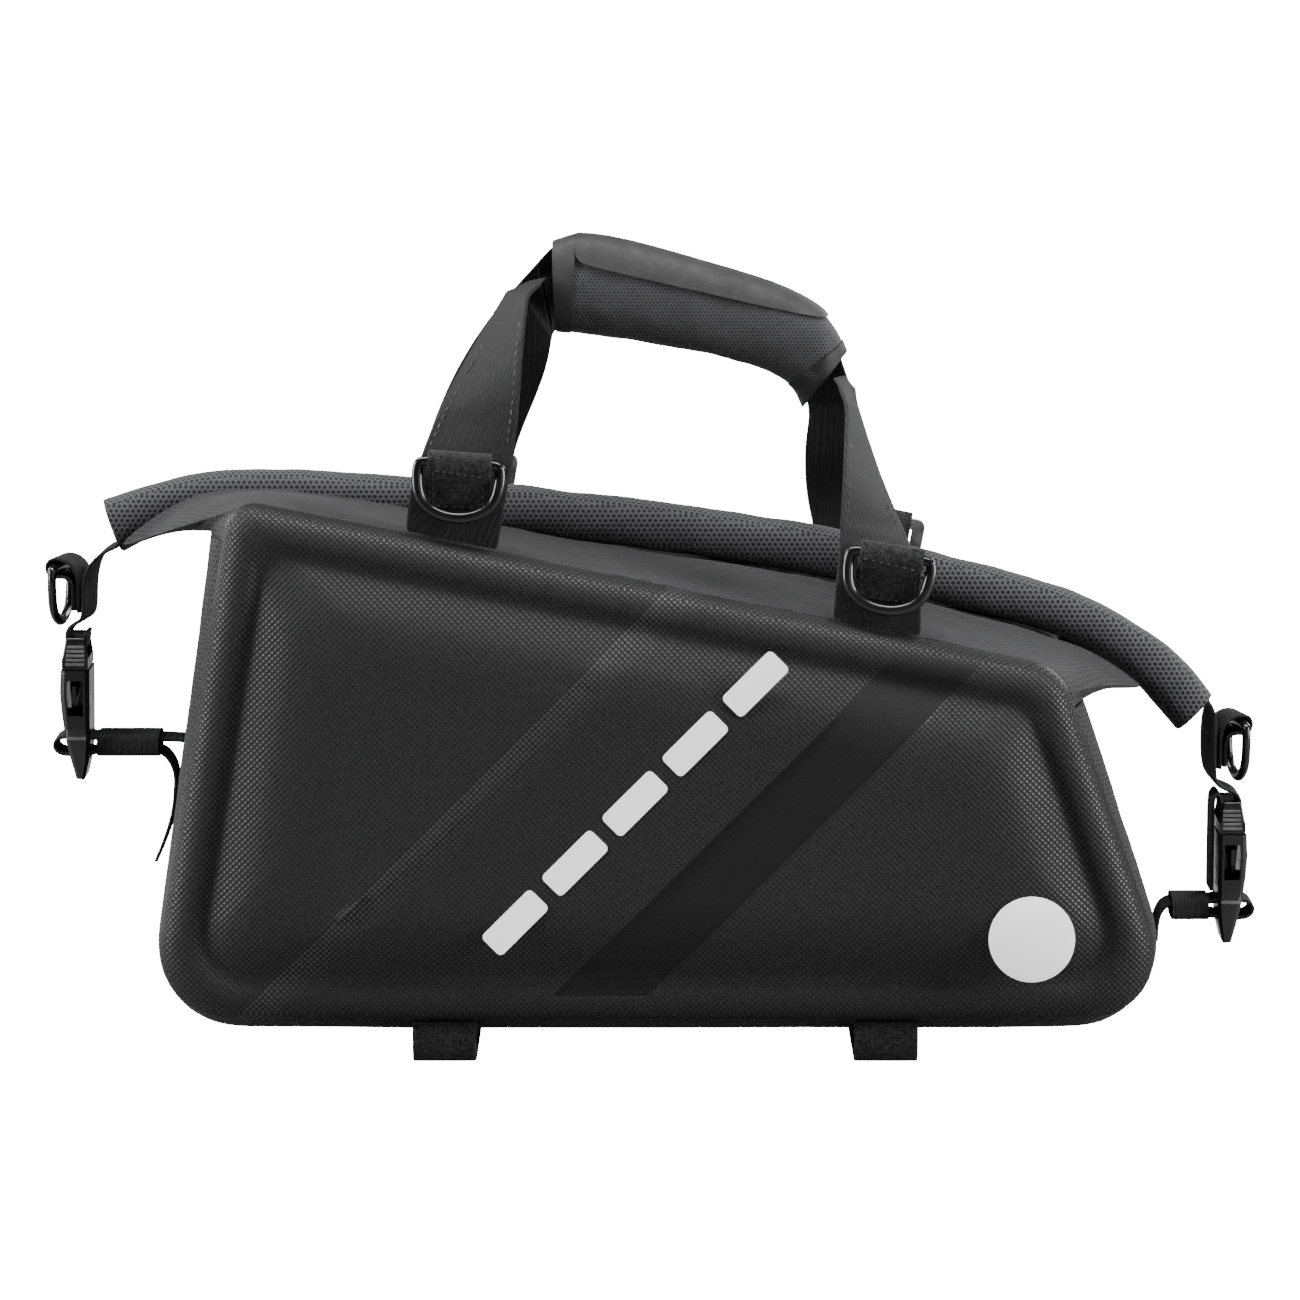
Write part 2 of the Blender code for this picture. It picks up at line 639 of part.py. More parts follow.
def place_local(points, bar):
    """Local (along the bar, outwards, up) to the bag's frame, for points near the handle."""
    (x, y, z), slant = bar
    side = math.copysign(1.0, y)
    placed = []
    for along, out, up in points:
        turned_x = along * math.cos(slant) + up * math.sin(slant)
        turned_z = up * math.cos(slant) - along * math.sin(slant)
        placed.append((x + turned_x, y + side * out, z + turned_z))
    return placed


def ring_line():
    """Middle line of a D-ring's band: (across, up), with the bar at the top."""
    half = RING_HALF_WIDTH
    drop = RING_DROP
    side = [(-half + 2.6, 0.0), (-half + 0.6, -0.8), (-half, -2.8), (-half, -7.5)]
    bow = []
    for step in range(1, 8):
        angle = math.pi * step / 8.0
        bow.append((-half * math.cos(angle), -8.5 - (drop - 8.5) * math.sin(angle) ** 0.85))
    return side + bow + [(-x, z) for x, z in side[::-1]]


def ring_section_rings(line):
    """Eight-sided band round a closed line: rings of (across, out, up)."""
    rings = []
    count = len(line)
    for index, (x, z) in enumerate(line):
        before = Vector(line[index - 1])
        after = Vector(line[(index + 1) % count])
        run = (after - before).normalized()
        outward = Vector((-run.y, run.x))
        ring = []
        for step in range(8):
            angle = math.tau * (step + 0.5) / 8.0
            reach = math.cos(angle) * RING_HALF_BAND / math.cos(math.pi / 8.0)
            depth = math.sin(angle) * RING_HALF_THICK / math.cos(math.pi / 8.0)
            ring.append((x + outward.x * reach, depth, z + outward.y * reach))
        rings.append(ring)
    return rings


def make_hanging_ring(name, bar):
    """D-ring in front of the shell, tilted so that its bow rests on the tab."""
    rings = []
    for ring in ring_section_rings(ring_line()):
        tilted = []
        for across, depth, up in ring:
            out = depth * math.cos(RING_TILT) - up * math.sin(RING_TILT)
            rise = up * math.cos(RING_TILT) + depth * math.sin(RING_TILT)
            tilted.append((across, out, rise))
        rings.append(place_local(tilted, bar))
    points, faces = tube(rings, looped=True)
    return mesh_object(name, points, faces, PLASTIC, bar[0])


def strip_rings(path, thickness):
    """Two-sided offsets of an open path in a plane: pairs of points."""
    pairs = []
    for index, point in enumerate(path):
        here = Vector(point)
        before = Vector(path[max(index - 1, 0)])
        after = Vector(path[min(index + 1, len(path) - 1)])
        run = (after - before).normalized()
        normal = Vector((-run.y, run.x)) * thickness / 2.0
        pairs.append((here + normal, here - normal))
    return pairs


def make_tab(name, bar, fold):
    """Webbing folded over a bar, with its front ply stitched down on the rear one."""
    half = WEBBING / 2.0
    rings = []
    for outer, inner in strip_rings(fold, PLY):
        ring = [(-half, outer.x, outer.y), (half, outer.x, outer.y),
                (half, inner.x, inner.y), (-half, inner.x, inner.y)]
        rings.append(place_local(ring, bar))
    return mesh_object(name, *tube(rings), STRAP)


def prism(outline, depth_low, depth_high, place):
    """Flat outline given a thickness: place turns (a, b, depth) into a point."""
    rings = [[place(a, b, depth) for a, b in outline] for depth in (depth_low, depth_high)]
    return tube(rings)


def make_hook(name, bar):
    """Flat alloy hook: a bar at the top, a slot for its tab and a side-opening hook below."""
    half = HOOK_HALF_WIDTH
    top = RING_HALF_BAND

    def place(across, up, depth):
        return place_local([(across, depth, up)], bar)[0]

    outline = []
    corners = ((half, -HOOK_DROP, 7.0), (half, top, 3.0), (-half, top, 3.0), (-half, -HOOK_DROP, 7.0))
    for quarter, (x, z, radius) in enumerate(corners):
        centre_x = x - math.copysign(radius, x)
        centre_z = z + radius if z < 0 else z - radius
        for step in range(4):
            angle = (quarter - 1.0 + step / 3.0) * math.pi / 2.0
            outline.append((centre_x + radius * math.cos(angle), centre_z + radius * math.sin(angle)))
    hook = mesh_object(name, *prism(outline, -HOOK_HALF_THICK, HOOK_HALF_THICK, place), ALLOY, bar[0])
    slot = [(-13.4, -8.6), (13.4, -8.6), (13.4, -RING_HALF_BAND), (-13.4, -RING_HALF_BAND)]
    mouth = [(-11.0, -16.8), (12.0, -16.8), (12.0, -13.6), (22.0, -13.6), (22.0, -11.2), (9.4, -11.2),
             (9.4, -13.6), (-11.0, -13.6)]
    combine(hook, add_cutter(name + "_slot", *prism(slot, -4.0, 4.0, place)), "DIFFERENCE")
    combine(hook, add_cutter(name + "_mouth", *prism(mouth, -4.0, 4.0, place)), "DIFFERENCE")
    return hook


def turned(point, hang, fading=False):
    """Point turned about the upright line of an end, by less near the roll and the buckle if it fades."""
    line_x, angle, (start, full, still_full, ended) = hang
    x, y, z = point
    share = 1.0
    if fading:
        share = max(0.0, min(1.0, (start - z) / (start - full), (z - ended) / (still_full - ended)))
    reach = x - line_x
    cos_turn = math.cos(angle * share)
    sin_turn = math.sin(angle * share)
    return (line_x + reach * cos_turn - y * sin_turn, reach * sin_turn + y * cos_turn, z)


def flat_ribbon(name, path, thickness, material, steps=2, half_width=WEBBING / 2.0, hang=None, fading=False):
    """Strap seen edge-on from the front: its path in x and z, its width along y, turned if it hangs."""
    line = [(point.x, point.z) for point in smooth([(x, 0.0, z) for x, z in path], steps)]
    rings = []
    for outer, inner in strip_rings(line, thickness):
        rings.append([(outer.x, -half_width, outer.y), (outer.x, half_width, outer.y),
                      (inner.x, half_width, inner.y), (inner.x, -half_width, inner.y)])
    if hang:
        rings = [[turned(point, hang, fading) for point in ring] for ring in rings]
    return mesh_object(name, *tube(rings), material)


def buckle_path(buckle, path):
    """Local (out, along) of a buckle to (x, z)."""
    x, z, side = buckle
    return [(x + side * out, z + along) for out, along in path]


U_TURN = ((3.7, 13.2), (3.75, 9.6), (3.0, 7.7), (0.0, 7.1), (-3.0, 7.7), (-3.75, 9.6), (-3.7, 12.6))


def make_roll_end_straps():
    """Webbing from each end of the roll round the buckle's upper bar."""
    left = [(-211.0, 199.5), (-214.6, 198.0), (-218.6, 195.2), (-221.6, 190.6), (-222.9, 184.0),
            (-222.8, 175.0), (-223.5, 170.4), (-227.6, 168.2), (-230.4, 166.2)]
    left += buckle_path(LEFT_BUCKLE, U_TURN) + [(-223.6, 165.0)]
    flat_ribbon("roll_end_strap_left", left, PLY, STRAP, 1, hang=LEFT_HANG, fading=True)
    right = [(222.0, 136.9), (223.1, 134.2), (222.9, 130.0), (222.5, 122.0), (222.5, 109.0), (224.6, 104.3),
             (229.0, 102.6), (233.4, 100.6)]
    right += buckle_path(RIGHT_BUCKLE, U_TURN)
    right += [(227.0, 99.3), (225.6, 100.6), (224.2, 99.5), (223.7, 96.5), (223.6, 80.0), (223.4, 61.5)]
    flat_ribbon("roll_end_strap_right", right, PLY, STRAP, 1, hang=RIGHT_HANG, fading=True)


def make_end_rings():
    """D-rings that hang beside the roll's end straps, turned with them."""
    for name, (x, z), hang in (("d_ring_end_left", END_RING_LEFT, LEFT_HANG),
                               ("d_ring_end_right", END_RING_RIGHT, RIGHT_HANG)):
        rings = []
        for ring in ring_section_rings(ring_line()):
            rings.append([turned((x + depth, across, z + up), hang) for across, depth, up in ring])
        points, faces = tube(rings, looped=True)
        mesh_object(name, points, faces, PLASTIC, turned((x, 0.0, z), hang))


RING_TAB_PATH = (
    (-9.5, -18.0), (-9.6, -6.0), (-8.6, -1.0), (-6.0, 2.2), (-3.0, 3.5), (0.0, 3.7), (2.4, 2.9), (3.4, 0.4),
    (2.6, -2.6), (0.0, -3.8), (-3.0, -3.4), (-5.6, -4.0), (-7.2, -6.4), (-7.6, -10.0), (-7.6, -17.0),
)


def make_end_ring_tabs():
    for name, (x, z), side, hang in (("end_ring_tab_left", END_RING_LEFT, -1.0, LEFT_HANG),
                                     ("end_ring_tab_right", END_RING_RIGHT, 1.0, RIGHT_HANG)):
        path = [(x + side * out, z + up) for out, up in RING_TAB_PATH]
        flat_ribbon(name, path, PLY - 0.1, STRAP, 1, hang=hang)


def buckle_box(buckle, low, high):
    """Box in a buckle's own directions (out, across, along) as rings."""
    x, z, side = buckle
    (u0, v0, w0), (u1, v1, w1) = low, high
    x0, x1 = sorted((x + side * u0, x + side * u1))
    return tube(box_points((x0, v0, z + w0), (x1, v1, z + w1)))


def make_socket(name, buckle):
    """Female half: hollow box with side windows, and a bar between two strap slots."""
    x, z, _ = buckle
    rings = []
    for along, thick, wide in SOCKET_SECTIONS:
        corner = min(1.6, thick * 0.6)
        rings.append([
            (x + thick, wide - corner, 0), (x + thick - corner, wide, 0), (x - thick + corner, wide, 0),
            (x - thick, wide - corner, 0), (x - thick, -wide + corner, 0), (x - thick + corner, -wide, 0),
            (x + thick - corner, -wide, 0), (x + thick, -wide + corner, 0),
        ])
        rings[-1] = [(px, py, z + along) for px, py, _ in rings[-1]]
    socket = mesh_object(name, *tube(rings), PLASTIC)
    cuts = (
        ("mouth", (-3.4, -14.6, -22.0), (3.4, 14.6, 2.0)),
        ("windows", (-3.0, -25.0, -18.0), (3.0, 25.0, -4.0)),
        ("upper_slot", (-12.0, -13.2, -28.2), (12.0, 13.2, -25.2)),
        ("lower_slot", (-12.0, -13.2, -35.6), (12.0, 13.2, -32.2)),
    )
    for label, low, high in cuts:
        combine(socket, add_cutter(name + "_" + label, *buckle_box(buckle, low, high)), "DIFFERENCE")
    return socket


PLUG_HALF = (
    (16.5, 12.5), (16.5, 0.4), (13.3, 0.4), (13.3, -3.2), (16.9, -6.0), (16.9, -12.0), (13.2, -16.4),
    (10.6, -16.8), (9.8, -14.0), (9.8, -2.6), (2.6, -2.6), (2.0, -19.0),
)
# Collar that closes the socket's mouth, in the buckle's own directions (out, across, along)
PLUG_COLLAR = ((-5.2, -17.0, 0.5), (5.2, 17.0, 4.9))


def make_plug(name, buckle):
    """Male half: bar for the webbing, a collar, a guide and two side catches, seated in the socket."""
    x, z, side = buckle
    outline = list(PLUG_HALF) + [(-v, w) for v, w in PLUG_HALF[::-1]]

    def place(across, along, depth):
        return (x + side * depth, across, z + along)

    plug = mesh_object(name, *prism(outline, -2.4, 2.4, place), PLASTIC)
    slot = buckle_box(buckle, (-6.0, -13.2, 5.2), (6.0, 13.2, 9.4))
    combine(plug, add_cutter(name + "_slot", *slot), "DIFFERENCE")
    combine(plug, add_cutter(name + "_collar", *buckle_box(buckle, *PLUG_COLLAR)), "UNION")
    return plug


SOCKET_LOOP = (
    (-8.5, -27.6), (-4.5, -26.9), (0.0, -26.7), (4.5, -26.7), (7.6, -27.4), (9.0, -29.2), (9.0, -31.2),
    (7.6, -33.1), (4.5, -33.9), (0.0, -33.9), (-4.5, -33.5), (-8.5, -32.7),
)
KEEPER_ALONG = (-30.1, 4.9)
KEEPER_WALL = 1.2


def make_end_straps():
    """Straps from the lower ends of the gusset through their keepers round the socket bars."""
    left_top = LEFT_BUCKLE[1]
    root = end_surface_x(-1.0, 121.0) - GAP - 0.25
    left = [(root, 121.9), (-190.0, 122.4), (-200.0, left_top - 27.7)]
    left += buckle_path(LEFT_BUCKLE, SOCKET_LOOP)
    left += [(-200.0, left_top - 32.6), (-195.0, left_top - 32.6), (-191.6, 115.8)]
    left += [(end_surface_x(-1.0, z) - out, z) for z, out in ((109.5, 2.6), (103.0, 2.0), (94.0, 1.6))]
    left += [(-191.6, 86.0), (-194.0, 79.5), (-196.6, 73.4)]
    flat_ribbon("end_strap_left", left, PLY, STRAP, 1)
    right_top = RIGHT_BUCKLE[1]
    right = [(201.6, 41.5), (201.7, 47.0), (202.5, 51.8), (204.6, 55.4), (208.5, right_top - 27.9),
             (213.0, right_top - 27.6)]
    right += buckle_path(RIGHT_BUCKLE, SOCKET_LOOP)
    right += [(213.0, right_top - 32.7), (207.6, right_top - 32.7)]
    flat_ribbon("end_strap_right", right, PLY, STRAP, 1)


def make_keepers():
    """Sleeves that hold the two plies of each end strap together."""
    half_y = WEBBING / 2.0 + 0.5
    for name, buckle, low_x, high_x in (("strap_keeper_left", LEFT_BUCKLE, -219.6, -194.6),
                                        ("strap_keeper_right", RIGHT_BUCKLE, 207.6, 222.4)):
        middle = buckle[1] + KEEPER_ALONG[0]
        half_z = KEEPER_ALONG[1] - KEEPER_WALL
        rings = []
        for grow in (KEEPER_WALL, 0.0):
            corner = 0.3 + grow
            wide = half_y + grow
            tall = half_z + grow
            ring = [
                (wide - corner, tall), (-wide + corner, tall),
                (-wide, tall - corner), (-wide, -tall + corner),
                (-wide + corner, -tall), (wide - corner, -tall),
                (wide, -tall + corner), (wide, tall - corner),
            ]
            ends = (low_x, high_x) if grow else (high_x, low_x)
            for x in ends:
                rings.append([(x, y, middle + z) for y, z in ring])
        mesh_object(name, *tube(rings, looped=True), STRAP)


RACK_LOOP_HALF = (
    (0.0, 11.7), (35.0, 11.7), (52.0, 11.8), (58.5, 13.4), (63.5, 16.4), (67.0, 18.0), (69.8, 17.0),
    (70.9, 13.4), (70.2, 8.6), (68.0, 4.2), (64.0, 1.5), (58.0, 0.0), (35.0, 0.0),
)


def make_rack_straps():
    """Hook-and-loop straps: flattened rings under the base, which the bag stands on."""
    for name, x in zip(("rack_strap_left", "rack_strap_right"), RACK_STRAP_X):
        half = [(y, z) for y, z in RACK_LOOP_HALF]
        line = half + [(0.0, 0.0)] + [(-y, z) for y, z in half[:0:-1]]
        count = len(line)
        rings = []
        for index, point in enumerate(line):
            here = Vector(point)
            run = (Vector(line[(index + 1) % count]) - Vector(line[index - 1])).normalized()
            inner = here + Vector((run.y, -run.x)) * RACK_STRAP_THICK
            rings.append([(x - WEBBING / 2.0, here.x, here.y), (x + WEBBING / 2.0, here.x, here.y),
                          (x + WEBBING / 2.0, inner.x, inner.y), (x - WEBBING / 2.0, inner.x, inner.y)])
        mesh_object(name, *tube(rings, looped=True), HOOK_AND_LOOP)


SHELL = shell_material()
FABRIC = fabric_material()
STRAP = webbing_material()
PLASTIC = plastic_material()
ALLOY = alloy_material()
HOOK_AND_LOOP = hook_and_loop_material()

make_shell("shell_front", -1.0)
make_shell("shell_rear", 1.0)
make_gusset()
make_cover()
make_roll()
make_handle_straps()
make_grip()
for tab_name, ring_name, tab_bar in (("tab_front_left", "d_ring_front_left", FRONT_LEFT_BAR),
                                     ("tab_front_right", "d_ring_front_right", FRONT_RIGHT_BAR)):
    make_tab(tab_name, tab_bar, RING_TAB_FOLD)
    make_hanging_ring(ring_name, tab_bar)
for tab_name, hook_name, tab_bar in (("tab_rear_left", "g_hook_rear_left", REAR_LEFT_BAR),
                                     ("tab_rear_right", "g_hook_rear_right", REAR_RIGHT_BAR)):
    make_tab(tab_name, tab_bar, HOOK_TAB_FOLD)
    make_hook(hook_name, tab_bar)
make_roll_end_straps()
make_end_rings()
make_end_ring_tabs()
for half_name, half_buckle in (("left", LEFT_BUCKLE), ("right", RIGHT_BUCKLE)):
    make_socket("buckle_socket_" + half_name, half_buckle)
    make_plug("buckle_plug_" + half_name, half_buckle)
make_end_straps()
make_keepers()
make_rack_straps()
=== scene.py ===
"""Looks of a hard-shell roll-top bag for a bicycle rack, dressed over its fixed frame."""

import logging
import math
from dataclasses import dataclass
from enum import Enum
from typing import Optional, Sequence

import bmesh
import bpy
from mathutils import Matrix, Vector
from mathutils.bvhtree import BVHTree


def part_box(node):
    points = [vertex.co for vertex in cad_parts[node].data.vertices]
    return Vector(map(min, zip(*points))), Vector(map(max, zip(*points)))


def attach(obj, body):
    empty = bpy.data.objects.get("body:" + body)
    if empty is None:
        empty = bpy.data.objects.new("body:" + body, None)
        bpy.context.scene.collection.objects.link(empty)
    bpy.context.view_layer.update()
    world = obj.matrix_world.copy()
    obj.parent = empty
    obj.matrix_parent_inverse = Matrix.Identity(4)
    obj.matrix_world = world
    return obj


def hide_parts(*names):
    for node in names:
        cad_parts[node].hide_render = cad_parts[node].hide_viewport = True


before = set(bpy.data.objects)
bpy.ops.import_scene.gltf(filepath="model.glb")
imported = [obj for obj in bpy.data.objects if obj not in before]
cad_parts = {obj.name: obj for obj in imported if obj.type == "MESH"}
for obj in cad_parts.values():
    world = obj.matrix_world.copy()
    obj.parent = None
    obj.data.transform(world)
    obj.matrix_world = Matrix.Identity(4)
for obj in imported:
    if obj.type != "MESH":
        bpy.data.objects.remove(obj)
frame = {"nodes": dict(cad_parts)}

MM = 0.001
BAG = "bag"
LOG = logging.getLogger("rack_bag")

Point = tuple[float, float, float]
Colour = tuple[float, float, float, float]
Mesh = bmesh.types.BMesh


def grey(value: float, blue: Optional[float] = None) -> Colour:
    """Gives an opaque grey, whose blue may be set apart."""
    return (value, value, value if blue is None else blue, 1.0)


class Slot(Enum):
    """The record's material slots."""

    SHELL = "moulded_shell"
    CLOTH = "mesh_fabric"
    WEBBING = "woven_webbing"
    PLASTIC = "black_plastic"
    ALLOY = "satin_alloy"
    HOOK_AND_LOOP = "hook_and_loop"


class Graph:
    """Adds and links the nodes of one tree in short calls."""

    def __init__(self, tree: bpy.types.NodeTree) -> None:
        """Starts on the tree of a material, a world or a node group."""
        self.tree = tree

    def add(self, kind: str, **settings: object) -> bpy.types.Node:
        """Adds one node.

        Args:
            kind: the node's type name.
            settings: properties to set on it.

        Returns:
            The new node.
        """
        node = self.tree.nodes.new(kind)
        for name, value in settings.items():
            setattr(node, name, value)
        return node

    def feed(self, socket: bpy.types.NodeSocket, source: object) -> None:
        """Links a socket to another one, or sets its value.

        Args:
            socket: the input to fill.
            source: an output socket, or a plain value.
        """
        if isinstance(source, bpy.types.NodeSocket):
            self.tree.links.new(source, socket)
        else:
            socket.default_value = source

    def math(self, operation: str, first: object, second: object = 0.0) -> bpy.types.NodeSocket:
        """Adds one arithmetic step.

        Args:
            operation: the Math node's operation.
            first: its first value or socket.
            second: its second value or socket.

        Returns:
            The result's socket.
        """
        node = self.add("ShaderNodeMath", operation=operation)
        self.feed(node.inputs[0], first)
        self.feed(node.inputs[1], second)
        return node.outputs[0]

    def fade(self, value: object, low: float, high: float, to_low: float = 0.0,
             to_high: float = 1.0) -> bpy.types.NodeSocket:
        """Maps a value smoothly from one range to another.

        Args:
            value: the value's socket.
            low: value where the result is to_low.
            high: value where the result is to_high.
            to_low: result at low.
            to_high: result at high.

        Returns:
            The result's socket.
        """
        node = self.add("ShaderNodeMapRange", interpolation_type="SMOOTHSTEP")
        for socket, source in zip(node.inputs, (value, low, high, to_low, to_high)):
            self.feed(socket, source)
        return node.outputs[0]

    def mix(self, factor: object, first: Colour, second: object) -> bpy.types.NodeSocket:
        """Mixes two colours.

        Args:
            factor: share of the second colour.
            first: colour at 0.
            second: colour at 1.

        Returns:
            The mixed colour's socket.
        """
        node = self.add("ShaderNodeMix", data_type="RGBA")
        self.feed(node.inputs["Factor"], factor)
        self.feed(node.inputs[6], first)
        self.feed(node.inputs[7], second)
        return node.outputs[2]

    def split(self, vector: bpy.types.NodeSocket) -> list[bpy.types.NodeSocket]:
        """Separates a vector.

        Args:
            vector: the vector's socket.

        Returns:
            The sockets of its three parts.
        """
        node = self.add("ShaderNodeSeparateXYZ")
        self.feed(node.inputs[0], vector)
        return list(node.outputs)

    def join(self, across: object, along: object) -> bpy.types.NodeSocket:
        """Makes a flat vector.

        Args:
            across: its first part.
            along: its second part.

        Returns:
            The vector's socket.
        """
        node = self.add("ShaderNodeCombineXYZ")
        self.feed(node.inputs[0], across)
        self.feed(node.inputs[1], along)
        return node.outputs[0]

    def use(self, group: bpy.types.NodeTree, **values: object) -> bpy.types.Node:
        """Places a shared node group.

        Args:
            group: the group's tree.
            values: what each of its inputs gets, by name.

        Returns:
            The group's node.
        """
        node = self.add("ShaderNodeGroup", node_tree=group)
        for name, value in values.items():
            self.feed(node.inputs[name], value)
        return node


def new_group(name: str, inputs: dict[str, str],
              outputs: Sequence[str]) -> tuple[Graph, bpy.types.Node, bpy.types.Node]:
    """Starts a shader node group.

    Args:
        name: the group's name.
        inputs: kind of socket for each input name.
        outputs: names of the outputs, each a value unless it is called Plane.

    Returns:
        The group's graph, its input node and its output node.
    """
    tree = bpy.data.node_groups.new(name, "ShaderNodeTree")
    for socket, kind in inputs.items():
        tree.interface.new_socket(socket, in_out="INPUT", socket_type=kind)
    for socket in outputs:
        kind = "NodeSocketVector" if socket == "Plane" else "NodeSocketFloat"
        tree.interface.new_socket(socket, in_out="OUTPUT", socket_type=kind)
    graph = Graph(tree)
    return graph, graph.add("NodeGroupInput"), graph.add("NodeGroupOutput")


def surface_plane_group() -> bpy.types.NodeTree:
    """Flat coordinates in the plane that the surface mostly faces.

    Returns:
        The group's tree.
    """
    graph, _, out = new_group("surface_plane", {}, ["Plane"])
    place = graph.add("ShaderNodeTexCoord")
    x, y, z = graph.split(place.outputs["Object"])
    facing = [graph.math("ABSOLUTE", part) for part in graph.split(place.outputs["Normal"])]
    sideways = graph.math("GREATER_THAN", facing[0], graph.math("MAXIMUM", facing[1], facing[2]))
    upward = graph.math("GREATER_THAN", facing[2], graph.math("MAXIMUM", facing[0], facing[1]))
    across = graph.math("ADD", x, graph.math("MULTIPLY", sideways, graph.math("SUBTRACT", y, x)))
    along = graph.math("ADD", z, graph.math("MULTIPLY", upward, graph.math("SUBTRACT", y, z)))
    graph.feed(out.inputs["Plane"], graph.join(across, along))
    return graph.tree


def diamond_weave_group() -> bpy.types.NodeTree:
    """Small raised diamonds, as in moulded cloth.

    Returns:
        The group's tree.
    """
    inputs = {"Plane": "NodeSocketVector", "Pitch": "NodeSocketFloat"}
    graph, source, out = new_group("diamond_weave", inputs, ["Height", "Tone"])
    across, along, _ = graph.split(source.outputs["Plane"])
    turn = graph.math("DIVIDE", math.pi, source.outputs["Pitch"])
    rising = graph.math("SINE", graph.math("MULTIPLY", graph.math("ADD", across, along), turn))
    falling = graph.math("SINE", graph.math("MULTIPLY", graph.math("SUBTRACT", across, along), turn))
    crossing = graph.math("MULTIPLY", rising, falling)
    graph.feed(out.inputs["Height"], graph.math("POWER", graph.math("ABSOLUTE", crossing), 0.6))
    graph.feed(out.inputs["Tone"], graph.fade(crossing, -1.0, 1.0))
    return graph.tree


def honeycomb_group() -> bpy.types.NodeTree:
    """Round holes of a knitted mesh in a six-sided layout.

    Returns:
        The group's tree.
    """
    inputs = {"Plane": "NodeSocketVector", "Pitch": "NodeSocketFloat"}
    graph, source, out = new_group("honeycomb_mesh", inputs, ["Height"])
    across, along, _ = graph.split(source.outputs["Plane"])
    row = math.sqrt(3.0)
    hole, thread = 0.22, 0.42
    reaches = []
    for shift in (0.0, 0.5):
        parts = []
        for part, step in ((across, 1.0), (along, row)):
            scaled = graph.math("DIVIDE", part, graph.math("MULTIPLY", source.outputs["Pitch"], step))
            cell = graph.math("FRACT", graph.math("ADD", scaled, shift + 100.0))
            parts.append(graph.math("MULTIPLY", graph.math("SUBTRACT", cell, 0.5), step))
        square = graph.math("ADD", graph.math("POWER", graph.math("ABSOLUTE", parts[0]), 2.0),
                            graph.math("POWER", graph.math("ABSOLUTE", parts[1]), 2.0))
        reaches.append(graph.math("SQRT", square))
    nearest = graph.math("MINIMUM", reaches[0], reaches[1])
    graph.feed(out.inputs["Height"], graph.fade(nearest, hole, thread))
    return graph.tree


def rib_group() -> bpy.types.NodeTree:
    """Herringbone ribs that run along a woven strap.

    Returns:
        The group's tree.
    """
    inputs = {"Plane": "NodeSocketVector", "Pitch": "NodeSocketFloat"}
    graph, source, out = new_group("webbing_ribs", inputs, ["Height"])
    across, along, _ = graph.split(source.outputs["Plane"])
    threads_a_rib, ridge_share, thread_share = 1.6, 0.55, 0.45
    rib = graph.math("DIVIDE", across, source.outputs["Pitch"])
    zigzag = graph.math("PINGPONG", graph.math("ADD", rib, 100.0), 1.0)
    weft = graph.math("ADD", graph.math("DIVIDE", along, source.outputs["Pitch"]), zigzag)
    thread = graph.math("ABSOLUTE", graph.math("SINE", graph.math("MULTIPLY", weft, math.pi * threads_a_rib)))
    ridge = graph.math("ABSOLUTE", graph.math("SINE", graph.math("MULTIPLY", rib, math.pi)))
    graph.feed(out.inputs["Height"], graph.math("ADD", graph.math("MULTIPLY", ridge, ridge_share),
                                                graph.math("MULTIPLY", thread, thread_share)))
    return graph.tree


def grain_group() -> bpy.types.NodeTree:
    """Uneven grain of a stated size.

    Returns:
        The group's tree.
    """
    graph, source, out = new_group("grain", {"Size": "NodeSocketFloat"}, ["Height"])
    place = graph.add("ShaderNodeTexCoord")
    noise = graph.add("ShaderNodeTexNoise")
    graph.feed(noise.inputs["Vector"], place.outputs["Object"])
    graph.feed(noise.inputs["Scale"], graph.math("DIVIDE", 1.0, source.outputs["Size"]))
    noise.inputs["Detail"].default_value = 4.0
    graph.feed(out.inputs["Height"], noise.outputs["Fac"])
    return graph.tree


@dataclass(frozen=True)
class Patterns:
    """The shared node groups."""

    plane: bpy.types.NodeTree
    diamond: bpy.types.NodeTree
    honeycomb: bpy.types.NodeTree
    ribs: bpy.types.NodeTree
    grain: bpy.types.NodeTree


def build_patterns() -> Patterns:
    """Builds each shared node group once."""
    return Patterns(surface_plane_group(), diamond_weave_group(), honeycomb_group(), rib_group(),
                    grain_group())


